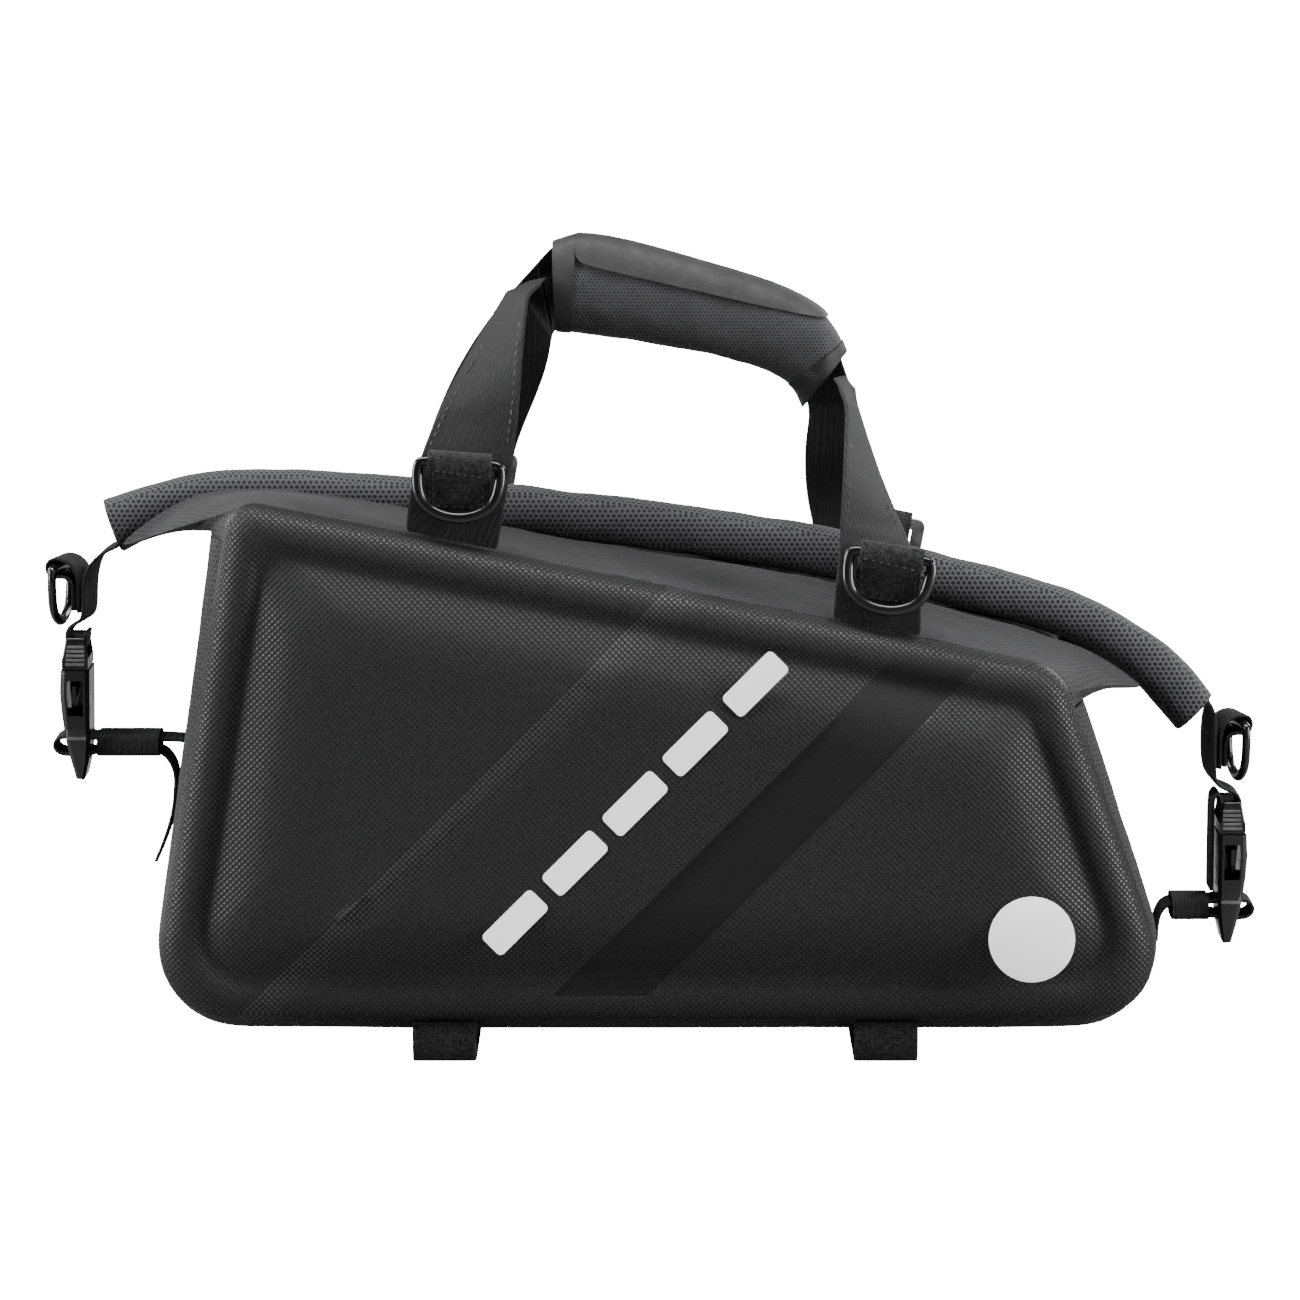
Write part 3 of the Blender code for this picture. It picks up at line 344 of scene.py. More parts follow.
class Surface(Graph):
    """A material's graph with its shader."""

    def __init__(self, name: str, patterns: Patterns, roughness: float, metallic: float = 0.0) -> None:
        """Starts a material.

        Args:
            name: the material's name.
            patterns: the shared node groups.
            roughness: its even roughness.
            metallic: its even metallic value.
        """
        self.material = bpy.data.materials.new(name)
        self.material.use_nodes = True
        super().__init__(self.material.node_tree)
        self.shader = self.tree.nodes["Principled BSDF"]
        self.shader.inputs["Roughness"].default_value = roughness
        self.shader.inputs["Metallic"].default_value = metallic
        self.patterns = patterns

    def grain(self, size: float) -> bpy.types.NodeSocket:
        """Gives the height's socket of a grain of this size in metres."""
        return self.use(self.patterns.grain, Size=size).outputs["Height"]

    def plane(self) -> bpy.types.NodeSocket:
        """Gives the socket of the flat surface coordinates."""
        return self.use(self.patterns.plane).outputs["Plane"]

    def bump(self, height: object, depth: float) -> None:
        """Feeds a height to the shader's normal.

        Args:
            height: the height's socket, from 0 to 1.
            depth: depth of the relief in metres.
        """
        node = self.add("ShaderNodeBump")
        node.inputs["Strength"].default_value = 1.0
        node.inputs["Distance"].default_value = depth
        self.feed(node.inputs["Height"], height)
        self.feed(self.shader.inputs["Normal"], node.outputs["Normal"])

    def finish(self, gloss: float, sheen: float = 0.0) -> bpy.types.Material:
        """Sets the shader's even gloss and sheen.

        Args:
            gloss: its specular level.
            sheen: weight of its sheen.

        Returns:
            The finished material.
        """
        self.shader.inputs["Specular IOR Level"].default_value = gloss
        self.shader.inputs["Sheen Weight"].default_value = sheen
        return self.material


@dataclass(frozen=True)
class ShellFinish:
    """Satin moulded cloth with a smooth diagonal band and a painted highlight along the crease."""

    dark: Colour = grey(0.0025, 0.0026)
    light: Colour = grey(0.017, 0.0177)
    band: Colour = grey(0.003, 0.0031)
    # Painted highlight: the colour that the light dots take along the crease.
    crease_highlight_tone: Colour = grey(0.07, 0.072)
    crease: float = -128.5 * MM
    pitch: float = 2.4 * MM
    relief: float = 0.24 * MM
    gloss: float = 0.27
    dull: float = 0.62
    bright: float = 0.32
    band_edges: tuple[float, float] = (-48.0 * MM, -21.5 * MM)
    band_foot: float = 29.0 * MM
    band_head: float = 168.0 * MM
    band_blur: float = 0.6 * MM
    band_fade: float = 16.0 * MM
    crease_start: tuple[float, float] = (-0.8 * MM, 0.4 * MM)
    crease_end: tuple[float, float] = (0.6 * MM, 16.0 * MM)
    crease_highlight_share: float = 0.6

    def band_mask(self, surface: Surface, offset: bpy.types.NodeSocket) -> bpy.types.NodeSocket:
        """Share of the band at each point.

        Args:
            surface: the material's graph.
            offset: how far each point lies across the diagonal.

        Returns:
            The mask's socket.
        """
        z = surface.split(surface.add("ShaderNodeTexCoord").outputs["Object"])[2]
        edge = self.band_blur
        low, high = self.band_edges
        inside = surface.math("MULTIPLY", surface.fade(offset, low - edge, low + edge),
                              surface.fade(offset, high - edge, high + edge, 1.0, 0.0))
        ends = surface.math("MULTIPLY", surface.fade(z, self.band_foot - edge, self.band_foot + edge),
                            surface.fade(z, self.band_head - self.band_fade, self.band_head, 1.0, 0.0))
        return surface.math("MULTIPLY", inside, ends)

    def crease_highlight_mask(self, surface: Surface, offset: bpy.types.NodeSocket) -> bpy.types.NodeSocket:
        """Share of the painted highlight along the crease, which fades away on its right.

        Args:
            surface: the material's graph.
            offset: how far each point lies across the diagonal.

        Returns:
            The mask's socket.
        """
        start = surface.fade(offset, *(self.crease + reach for reach in self.crease_start))
        end = surface.fade(offset, *(self.crease + reach for reach in self.crease_end), 1.0, 0.0)
        return surface.math("MULTIPLY", surface.math("MULTIPLY", start, end), self.crease_highlight_share)

    def build(self, patterns: Patterns) -> bpy.types.Material:
        """Makes the material.

        Args:
            patterns: the shared node groups.

        Returns:
            The material.
        """
        surface = Surface("shell_satin", patterns, 0.42)
        weave = surface.use(patterns.diamond, Plane=surface.plane(), Pitch=self.pitch).outputs["Height"]
        x, _, z = surface.split(surface.add("ShaderNodeTexCoord").outputs["Object"])
        offset = surface.math("MULTIPLY", surface.math("SUBTRACT", x, z), math.sqrt(0.5))
        mask = self.band_mask(surface, offset)
        dots = surface.fade(weave, 0.45, 1.0)
        # Painted highlight: along the crease the light dots are mixed towards the highlight colour.
        painted_crease_highlight = surface.mix(self.crease_highlight_mask(surface, offset), self.light, self.crease_highlight_tone)
        woven = surface.mix(dots, self.dark, painted_crease_highlight)
        surface.feed(surface.shader.inputs["Base Color"], surface.mix(mask, woven, self.band))
        wear = surface.fade(surface.grain(30.0 * MM), 0.3, 0.7, 0.0, 0.06)
        satin = surface.math("ADD", wear, surface.fade(dots, 0.0, 1.0, self.dull, self.bright))
        surface.feed(surface.shader.inputs["Roughness"],
                     surface.math("ADD", satin, surface.math("MULTIPLY", mask, 0.1)))
        plain = surface.math("SUBTRACT", 1.0, mask)
        surface.bump(surface.math("MULTIPLY", weave, plain), self.relief)
        return surface.finish(self.gloss)


@dataclass(frozen=True)
class MeshClothFinish:
    """Charcoal knitted mesh with small holes."""

    name: str = "knitted_mesh"
    hole: Colour = grey(0.006)
    thread: Colour = grey(0.06, 0.064)
    pitch: float = 2.2 * MM
    relief: float = 0.35 * MM
    gloss: float = 0.25
    sheen: float = 0.04

    def build(self, patterns: Patterns) -> bpy.types.Material:
        """Makes the material.

        Args:
            patterns: the shared node groups.

        Returns:
            The material.
        """
        surface = Surface(self.name, patterns, 0.78)
        mesh = surface.use(patterns.honeycomb, Plane=surface.plane(), Pitch=self.pitch).outputs["Height"]
        fibres = surface.grain(0.5 * MM)
        tone = surface.math("MULTIPLY", mesh, surface.fade(fibres, 0.2, 0.8, 0.7, 1.0))
        surface.feed(surface.shader.inputs["Base Color"], surface.mix(tone, self.hole, self.thread))
        surface.bump(surface.math("ADD", mesh, surface.math("MULTIPLY", fibres, 0.2)), self.relief)
        return surface.finish(self.gloss, self.sheen)


@dataclass(frozen=True)
class WebbingFinish:
    """Ribbed webbing whose ribs run at a stated angle, with painted shade below its foot height."""

    name: str
    lean: float = 0.0
    thread: Colour = grey(0.018, 0.019)
    valley: Colour = grey(0.004, 0.0042)
    # Height below which the webbing gets painted shade, in metres.
    foot: float = -1.0
    pitch: float = 1.25 * MM
    relief: float = 0.3 * MM
    gloss: float = 0.16
    sheen: float = 0.02

    def build(self, patterns: Patterns) -> bpy.types.Material:
        """Makes the material.

        Args:
            patterns: the shared node groups.

        Returns:
            The material.
        """
        surface = Surface(self.name, patterns, 0.7)
        turned = surface.add("ShaderNodeMapping")
        turned.inputs["Rotation"].default_value = (0.0, 0.0, math.radians(self.lean))
        surface.feed(turned.inputs["Vector"], surface.plane())
        ribs = surface.use(patterns.ribs, Plane=turned.outputs["Vector"], Pitch=self.pitch).outputs["Height"]
        fibres = surface.grain(0.4 * MM)
        tone = surface.math("MULTIPLY", ribs, surface.fade(fibres, 0.2, 0.8, 0.6, 1.0))
        height = surface.split(surface.add("ShaderNodeTexCoord").outputs["Object"])[2]
        # Painted shade: below the foot height the tone falls to 0.16 of itself.
        lit = surface.fade(height, self.foot - 1.5 * MM, self.foot + 1.5 * MM, 0.16, 1.0)
        tone = surface.math("MULTIPLY", tone, lit)
        surface.feed(surface.shader.inputs["Base Color"], surface.mix(tone, self.valley, self.thread))
        surface.bump(surface.math("ADD", ribs, surface.math("MULTIPLY", fibres, 0.3)), self.relief)
        return surface.finish(self.gloss, self.sheen)


@dataclass(frozen=True)
class FuzzFinish:
    """Napped face of hook-and-loop tape."""

    low: Colour = grey(0.002)
    high: Colour = grey(0.03, 0.031)
    fine: float = 0.7 * MM
    coarse: float = 2.2 * MM
    relief: float = 0.7 * MM
    gloss: float = 0.15
    sheen: float = 0.05

    def build(self, patterns: Patterns) -> bpy.types.Material:
        """Makes the material.

        Args:
            patterns: the shared node groups.

        Returns:
            The material.
        """
        surface = Surface("loop_nap", patterns, 0.9)
        nap = surface.math("ADD", surface.math("MULTIPLY", surface.grain(self.fine), 0.65),
                           surface.math("MULTIPLY", surface.grain(self.coarse), 0.35))
        surface.feed(surface.shader.inputs["Base Color"],
                     surface.mix(surface.fade(nap, 0.35, 0.65), self.low, self.high))
        surface.bump(nap, self.relief)
        return surface.finish(self.gloss, self.sheen)


@dataclass(frozen=True)
class PlainFinish:
    """A hard or smooth surface with fine grain and slight wear, and a painted glow where glow is set."""

    name: str
    colour: Colour
    worn_and_glow: Colour
    roughness: tuple[float, float]
    metallic: float = 0.0
    grain: float = 0.6 * MM
    relief: float = 0.02 * MM
    glow: float = 0.0

    def build(self, patterns: Patterns) -> bpy.types.Material:
        """Makes the material.

        Args:
            patterns: the shared node groups.

        Returns:
            The material.
        """
        surface = Surface(self.name, patterns, self.roughness[0], self.metallic)
        handling = surface.fade(surface.grain(9.0 * MM), 0.4, 0.75)
        surface.feed(surface.shader.inputs["Base Color"], surface.mix(handling, self.colour, self.worn_and_glow))
        surface.feed(surface.shader.inputs["Roughness"],
                     surface.fade(surface.grain(5.0 * MM), 0.3, 0.7, *self.roughness))
        surface.bump(surface.grain(self.grain), self.relief)
        # Painted light: the worn colour also glows at the glow strength, though the part is no lamp.
        surface.shader.inputs["Emission Color"].default_value = self.worn_and_glow
        surface.shader.inputs["Emission Strength"].default_value = self.glow
        return surface.material


@dataclass(frozen=True)
class Finishes:
    """Every material of the bag."""

    shell: bpy.types.Material
    cloth: bpy.types.Material
    dark_cloth: bpy.types.Material
    grip: bpy.types.Material
    upright: bpy.types.Material
    left_leg_shaded_copy: bpy.types.Material
    right_leg_lit_copy: bpy.types.Material
    nap: bpy.types.Material
    plastic: bpy.types.Material
    plate: bpy.types.Material
    alloy: bpy.types.Material
    tape: bpy.types.Material
    thread: bpy.types.Material
    reflective: bpy.types.Material


def build_finishes(patterns: Patterns) -> Finishes:
    """Builds every material.

    Args:
        patterns: the shared node groups.

    Returns:
        All of them.
    """
    knit = MeshClothFinish("fine_knit", grey(0.022, 0.023), grey(0.05, 0.052), 1.5 * MM, 0.14 * MM)
    # Painted light and shade: both front legs are one webbing in two copies, the right one painted lighter,
    # and each gets painted shade below its foot height.
    left_leg_shaded_copy = WebbingFinish("webbing_left_leg", 22.0, grey(0.017, 0.0177), foot=226.0 * MM)
    right_leg_lit_copy = WebbingFinish("webbing_right_leg", -14.0, grey(0.034, 0.0353), foot=190.0 * MM)
    plain = {
        "plastic": PlainFinish("gloss_plastic", grey(0.004), grey(0.008), (0.16, 0.27)),
        "plate": PlainFinish("satin_plate", grey(0.07), grey(0.11), (0.35, 0.45)),
        "alloy": PlainFinish("satin_alloy", grey(0.55, 0.56), grey(0.68, 0.69), (0.26, 0.38), 1.0),
        "tape": PlainFinish("binding_tape", grey(0.01, 0.0103), grey(0.018, 0.0185), (0.6, 0.72),
                            relief=0.12 * MM),
        "thread": PlainFinish("sewing_thread", grey(0.016, 0.0165), grey(0.034, 0.035), (0.5, 0.6)),
        # Painted light: the film glows at half strength, standing in for the light that it throws back.
        "reflective": PlainFinish("reflective_film_painted_glow", grey(0.78, 0.79), grey(0.86, 0.87), (0.42, 0.5),
                                  grain=0.35 * MM, relief=0.03 * MM, glow=0.5),
    }
    return Finishes(
        shell=ShellFinish().build(patterns),
        cloth=MeshClothFinish().build(patterns),
        dark_cloth=MeshClothFinish("dark_mesh", thread=grey(0.024, 0.0255)).build(patterns),
        grip=knit.build(patterns),
        upright=WebbingFinish("webbing_upright").build(patterns),
        left_leg_shaded_copy=left_leg_shaded_copy.build(patterns),
        right_leg_lit_copy=right_leg_lit_copy.build(patterns),
        nap=FuzzFinish().build(patterns),
        **{name: finish.build(patterns) for name, finish in plain.items()},
    )


def cad_copy(node: str) -> Mesh:
    """Copies a CAD node with its loose triangles merged into quads.

    Args:
        node: the CAD node's name.

    Returns:
        The merged mesh.
    """
    mesh = bmesh.new()
    mesh.from_mesh(frame["nodes"][node].data)
    bmesh.ops.remove_doubles(mesh, verts=mesh.verts, dist=0.002 * MM)
    bmesh.ops.join_triangles(mesh, faces=mesh.faces, angle_face_threshold=math.radians(40.0),
                             angle_shape_threshold=math.radians(60.0))
    return mesh


def sharp_edges(mesh: Mesh, degrees: float) -> list[bmesh.types.BMEdge]:
    """Lists the edges whose two faces meet at more than this angle."""
    limit = math.radians(degrees)
    return [edge for edge in mesh.edges if len(edge.link_faces) == 2 and edge.calc_face_angle(0.0) > limit]


def curve_through(points: Sequence[Point], steps: int) -> list[Vector]:
    """Rounds a run of points with a Catmull-Rom curve.

    Args:
        points: the points that it passes through, in order.
        steps: pieces between each two points.

    Returns:
        The points of the curve.
    """
    run = [Vector(point) for point in points]
    padded = [run[0] * 2.0 - run[1]] + run + [run[-1] * 2.0 - run[-2]]
    curve = []
    for before, start, end, after in zip(padded, padded[1:], padded[2:], padded[3:]):
        for step in range(steps):
            t = step / steps
            turn = (before * -1.0 + start * 3.0 - end * 3.0 + after) * t ** 3
            swing = (before * 2.0 - start * 5.0 + end * 4.0 - after) * t ** 2
            curve.append((start * 2.0 + (end - before) * t + swing + turn) * 0.5)
    return curve + [run[-1]]


@dataclass(frozen=True)
class StitchSizes:
    """Sizes of one stitch, in millimetres, and the stretch of its pitch that shows."""

    half_width: float = 0.34
    half_height: float = 0.26
    lift: float = 0.12
    longest: float = 6.0
    start: float = 0.18
    end: float = 0.82
    drop: float = 200.0


class SubAssembly:
    """Makes pieces that ride on a body of the bag."""

    sewing = StitchSizes()

    def __init__(self, finishes: Finishes) -> None:
        """Keeps every material of the bag."""
        self.finishes = finishes

    def add(self, name: str, mesh: Mesh, material: bpy.types.Material, slot: Slot, body: str = BAG,
            stands_for: Optional[str] = None, sharp: float = 40.0) -> bpy.types.Object:
        """Turns a mesh into a finished piece.

        Args:
            name: the piece's name.
            mesh: its mesh, which is freed here.
            material: its finish.
            slot: the record's slot that the finish belongs to; not used.
            body: the body that it rides on.
            stands_for: the CAD node that it replaces.
            sharp: least angle of a hard edge, in degrees.

        Returns:
            The new object.
        """
        for face in mesh.faces:
            face.smooth = True
        for edge in sharp_edges(mesh, sharp):
            edge.smooth = False
        data = bpy.data.meshes.new(name)
        mesh.to_mesh(data)
        mesh.free()
        data.materials.append(material)
        piece = bpy.data.objects.new(name, data)
        bpy.context.scene.collection.objects.link(piece)
        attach(piece, body)
        if stands_for:
            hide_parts(stands_for)
        LOG.info("%s rides on %s, %d faces", name, body, len(data.polygons))
        return piece

    def soft(self, node: str, name: str, material: bpy.types.Material, slot: Slot,
             levels: int = 2) -> bpy.types.Object:
        """Dresses a cloth or webbing node as a smooth piece that stands for it."""
        return self.rounded(name, cad_copy(node), material, slot, levels, node)

    def rounded(self, name: str, mesh: Mesh, material: bpy.types.Material, slot: Slot, levels: int = 2,
                stands_for: Optional[str] = None) -> bpy.types.Object:
        """Finishes a mesh as a smooth piece that keeps its sharp edges.

        Args:
            name: the piece's name.
            mesh: its mesh, which is freed here.
            material: its finish.
            slot: the record's slot.
            levels: levels of subdivision.
            stands_for: the CAD node that it replaces.

        Returns:
            The new object.
        """
        crease = mesh.edges.layers.float.new("crease_edge")
        for edge in sharp_edges(mesh, 55.0):
            edge[crease] = 0.9
        piece = self.add(name, mesh, material, slot, stands_for=stands_for, sharp=70.0)
        rounding = piece.modifiers.new("rounding", "SUBSURF")
        rounding.levels = levels
        rounding.render_levels = levels
        return piece

    def wrinkle(self, piece: bpy.types.Object, depth: float, size: float) -> None:
        """Gives a cloth piece soft uneven folds.

        Args:
            piece: the piece.
            depth: height of the folds in metres.
            size: width of a fold in metres.
        """
        folds = bpy.data.textures.new(piece.name + "_folds", "CLOUDS")
        folds.noise_scale = size
        folds.noise_depth = 1
        settle = piece.modifiers.new("folds", "DISPLACE")
        settle.texture = folds
        settle.texture_coords = "LOCAL"
        settle.strength = depth
        settle.mid_level = 0.5

    def hard(self, node: str, name: str, material: bpy.types.Material, slot: Slot, edge: float,
             body: str = BAG) -> bpy.types.Object:
        """Dresses a moulded or cut node with rounded edges.

        Args:
            node: the CAD node that it stands for.
            name: the piece's name.
            material: its finish.
            slot: the record's slot.
            edge: radius of its edges in metres.
            body: the body that it rides on.

        Returns:
            The new object.
        """
        mesh = cad_copy(node)
        bmesh.ops.dissolve_limit(mesh, angle_limit=math.radians(1.0), verts=mesh.verts, edges=mesh.edges)
        return self.moulded(name, mesh, material, slot, edge, body, node)

    def moulded(self, name: str, mesh: Mesh, material: bpy.types.Material, slot: Slot, edge: float,
                body: str = BAG, stands_for: Optional[str] = None) -> bpy.types.Object:
        """Finishes a mesh as a hard piece with rounded edges.

        Args:
            name: the piece's name.
            mesh: its mesh, which is freed here.
            material: its finish.
            slot: the record's slot.
            edge: radius of its edges in metres.
            body: the body that it rides on.
            stands_for: the CAD node that it replaces.

        Returns:
            The new object.
        """
        bmesh.ops.bevel(mesh, geom=sharp_edges(mesh, 30.0), offset=edge, segments=3, profile=0.5,
                        affect="EDGES", clamp_overlap=True, material=-1)
        piece = self.add(name, mesh, material, slot, body=body, stands_for=stands_for)
        piece.modifiers.new("even_shading", "WEIGHTED_NORMAL").keep_sharp = True
        return piece

    def stitches(self, name: str, on: str, toward: Vector, rows: Sequence[Sequence[Point]],
                 pitch: float = 3.4 * MM) -> bpy.types.Object:
        """Sews rows of stitches on a CAD node's surface.

        Args:
            name: the piece's name.
            on: the CAD node that carries them.
            toward: direction in which the rows are laid on the surface.
            rows: for each row its points, in millimetres.
            pitch: distance from stitch to stitch in metres.

        Returns:
            The new object.
        """
        ground = cad_copy(on)
        tree = BVHTree.FromBMesh(ground)
        ground.free()
        mesh = bmesh.new()
        for row in rows:
            points = [Vector(point) * MM for point in row]
            for start, end in zip(points, points[1:]):
                count = max(1, round((end - start).length / pitch))
                for step in range(count):
                    self.stitch(mesh, tree, start.lerp(end, (step + self.sewing.start) / count),
                                start.lerp(end, (step + self.sewing.end) / count), toward)
        return self.add(name, mesh, self.finishes.thread, Slot.WEBBING)

    def stitch(self, mesh: Mesh, tree: BVHTree, start: Vector, end: Vector, toward: Vector) -> None:
        """Lays one stitch on a surface.

        Args:
            mesh: the mesh that gets it.
            tree: the surface.
            start: one end before it is laid down.
            end: the other end.
            toward: direction in which it is laid down.
        """
        sizes = self.sewing
        away = toward * -sizes.drop * MM
        hits = [tree.ray_cast(point + away, toward)[0] for point in (start, end)]
        if hits[0] is None or hits[1] is None or (hits[0] - hits[1]).length > sizes.longest * MM:
            return
        middle = (hits[0] + hits[1]) / 2.0 - toward * sizes.lift * MM
        along = hits[1] - hits[0]
        turn = along.to_track_quat("X", "Z").to_matrix().to_4x4()
        size = Matrix.Diagonal((along.length / 2.0, sizes.half_width * MM, sizes.half_height * MM, 1.0))
        bmesh.ops.create_uvsphere(mesh, u_segments=6, v_segments=4, radius=1.0,
                                  matrix=Matrix.Translation(middle) @ turn @ size)


@dataclass
class ShellSizes:
    """Driving sizes of a moulded shell, in millimetres."""

    corners: tuple = ((-163.7, 223.7), (160.3, 157.3), (208.7, 18.8), (-197.1, 18.8))
    radii: tuple = (12.0, 18.0, 29.0, 29.0)
    least_radius: float = 4.0
    radius_gain: float = 0.45
    rim_y: float = 65.0
    wall: float = 3.0
    profile: tuple = ((0.0, 0.0), (0.0, 4.5), (1.2, 8.2), (4.0, 11.6), (8.0, 13.6), (12.0, 13.8),
                      (15.5, 12.5), (19.0, 12.6), (27.0, 17.0), (34.0, 20.2), (42.0, 21.8), (50.0, 22.2))
    band: tuple[float, float] = (-48.0, -21.5)
    band_depth: float = 1.0
    band_foot: float = 29.0
    band_head: float = 152.0
    crease: float = -128.5
    crease_half_width: float = 9.0
    crease_height: float = 1.3
    crease_rise: float = 20.0
    mark_rise: float = 12.55
    mark_edge: float = 0.7
    band_fade: float = 14.0
    badge_middle: Point = (148.5, -87.3, 52.9)
    badge_radius: float = 16.8
    badge_depth: float = 0.5
    badge_edge: float = 0.15


class MouldedShells(SubAssembly):
    """The front and rear shells with the front one's badge and reflective bars."""

    sizes = ShellSizes()

    def inset_corner(self, index: int, inset: float) -> tuple[Vector, Vector, Vector]:
        """Finds a corner of the outline after it is drawn in.

        Args:
            index: which corner.
            inset: how far each side moves in, in millimetres.

        Returns:
            The corner and the directions of the sides before and after it.
        """
        corners = [Vector(corner) for corner in self.sizes.corners]
        before, here, after = corners[index - 1], corners[index], corners[(index + 1) % 4]
        arriving, leaving = (here - before).normalized(), (after - here).normalized()
        inward = [Vector((side.y, -side.x)) for side in (arriving, leaving)]
        reach = inset / (1.0 + inward[0].dot(inward[1]))
        return here + (inward[0] + inward[1]) * reach, arriving, leaving

    def ring(self, mesh: Mesh, inset: float, y: float) -> list[bmesh.types.BMEdge]:
        """Draws one rounded outline.

        Args:
            mesh: the mesh that gets it.
            inset: how far it is drawn in, in millimetres.
            y: where it lies across the bag, in millimetres.

        Returns:
            Its edges.
        """
        verts = []
        bends = []
        for index in range(4):
            corner, arriving, leaving = self.inset_corner(index, inset)
            radius = max(self.sizes.radii[index] - inset, self.sizes.least_radius)
            radius += inset * self.sizes.radius_gain
            bends.append(radius * math.tan(arriving.angle(leaving) / 2.0) * MM)
            verts.append(mesh.verts.new((corner.x * MM, y * MM, corner.y * MM)))
        face = mesh.faces.new(verts)
        known = set(mesh.verts) - set(verts)
        for vert, bend in zip(verts, bends):
            bmesh.ops.bevel(mesh, geom=[vert], offset=bend, segments=10, profile=0.5,
                            affect="VERTICES", material=-1)
        face = next(face for face in mesh.faces if not known.intersection(face.verts))
        edges = list(face.edges)
        bmesh.ops.delete(mesh, geom=[face], context="FACES_ONLY")
        return edges

    def shell(self, side: int) -> Mesh:
        """Shapes one domed shell.

        Args:
            side: -1 for the front and 1 for the rear.

        Returns:
            The open shell, without its thickness.
        """
        sizes = self.sizes
        mesh = bmesh.new()
        profile = curve_through([(inset, rise, 0.0) for inset, rise in sizes.profile], 3)
        rings = [self.ring(mesh, max(point.x, 0.0), side * (sizes.rim_y + point.y)) for point in profile]
        for outer, inner in zip(rings, rings[1:]):
            bmesh.ops.bridge_loops(mesh, edges=outer + inner)
        bmesh.ops.contextual_create(mesh, geom=rings[-1])
        self.press_marks(mesh, side)
        bmesh.ops.recalc_face_normals(mesh, faces=mesh.faces)
        return mesh

    def press_marks(self, mesh: Mesh, side: int) -> None:
        """Presses the band in and lifts the crease.

        Args:
            mesh: the shell's mesh.
            side: -1 for the front and 1 for the rear.
        """
        sizes = self.sizes
        lean = Vector((math.sqrt(0.5), 0.0, -math.sqrt(0.5)))
        edge, crease, beside = sizes.mark_edge, sizes.crease, sizes.crease_half_width
        offsets = [sizes.band[0] - edge, sizes.band[0] + edge, sizes.band[1] - edge, sizes.band[1] + edge]
        offsets += [crease - beside, crease, crease + beside]
        cuts = [(lean * offset * MM, lean) for offset in offsets]
        foot, head = sizes.band_foot, sizes.band_head
        for height in (foot, foot + edge, head - sizes.band_fade, head):
            cuts.append((Vector((0.0, 0.0, height * MM)), Vector((0.0, 0.0, 1.0))))
        for place, normal in cuts:
            bmesh.ops.bisect_plane(mesh, geom=mesh.verts[:] + mesh.edges[:] + mesh.faces[:], dist=1e-7,
                                   plane_co=place, plane_no=normal)
        for vert in mesh.verts:
            offset = vert.co.dot(lean) / MM
            height = vert.co.z / MM
            rise = abs(vert.co.y) / MM - sizes.rim_y
            if rise < sizes.mark_rise:
                continue
            held = min(max((height - sizes.band_foot) / edge, 0.0), 1.0)
            held *= min(max((sizes.band_head - height) / sizes.band_fade, 0.0), 1.0)
            if sizes.band[0] + edge / 2 < offset < sizes.band[1] - edge / 2:
                vert.co.y -= side * sizes.band_depth * held * MM
            elif abs(offset - crease) < 0.1 and rise > sizes.crease_rise:
                vert.co.y += side * sizes.crease_height * MM

    def build(self) -> None:
        """Makes both shells and the front one's trim."""
        for side, node in ((-1, "shell_front"), (1, "shell_rear")):
            piece = self.add(node + "_satin", self.shell(side), self.finishes.shell, Slot.SHELL,
                             stands_for=node, sharp=60.0)
            wall = piece.modifiers.new("wall", "SOLIDIFY")
            wall.thickness = self.sizes.wall * MM
            wall.offset = -1.0
            piece.modifiers.new("even_shading", "WEIGHTED_NORMAL").keep_sharp = True
        self.badge()
        self.bars()

    def badge(self) -> None:
        """Makes the plain round badge."""
        sizes = self.sizes
        mesh = bmesh.new()
        place = Matrix.Translation(Vector(sizes.badge_middle) * MM) @ Matrix.Rotation(math.pi / 2.0, 4, "X")
        bmesh.ops.create_cone(mesh, cap_ends=True, segments=72, radius1=sizes.badge_radius * MM,
                              radius2=sizes.badge_radius * MM, depth=sizes.badge_depth * MM, matrix=place)
        bmesh.ops.bevel(mesh, geom=sharp_edges(mesh, 60.0), offset=sizes.badge_edge * MM, segments=2,
                        profile=0.5, affect="EDGES", material=-1)
        self.add("badge_blank", mesh, self.finishes.reflective, Slot.SHELL)

    def bars(self) -> None:
        """Makes a plain broken reflective stripe beside the band."""
        mesh = bmesh.new()
        count, length, gap, width = 5, 27.0, 6.0, 11.0
        start = Vector((-62.0, -87.3, 50.0))
        along = Vector((1.0, 0.0, 1.0)).normalized()
        for index in range(count):
            middle = start + along * (index * (length + gap) + length / 2.0)
            size = Matrix.Diagonal((length * MM, 0.4 * MM, width * MM, 1.0))
            turn = Matrix.Rotation(-math.pi / 4.0, 4, "Y")
            bmesh.ops.create_cube(mesh, size=1.0, matrix=Matrix.Translation(middle * MM) @ turn @ size)
        upright = [edge for edge in mesh.edges
                   if abs((edge.verts[0].co - edge.verts[1].co).normalized().y) > 0.9]
        bmesh.ops.bevel(mesh, geom=upright, offset=2.0 * MM, segments=5, profile=0.5,
                        affect="EDGES", material=-1)
        self.add("reflective_bars", mesh, self.finishes.reflective, Slot.SHELL)


@dataclass(frozen=True)
class EarSizes:
    """How far the cover's two ears are drawn along the roll, in millimetres."""

    left_start: float = -172.0
    left_end: float = -196.0
    left_pull: Point = (-13.0, 0.0, -3.0)
    right_start: float = 165.0
    right_end: float = 182.0
    right_pull: Point = (0.0, 0.0, 3.4)
    half_width: float = 36.0
    lip: float = 22.0
    lip_pull: float = 0.3


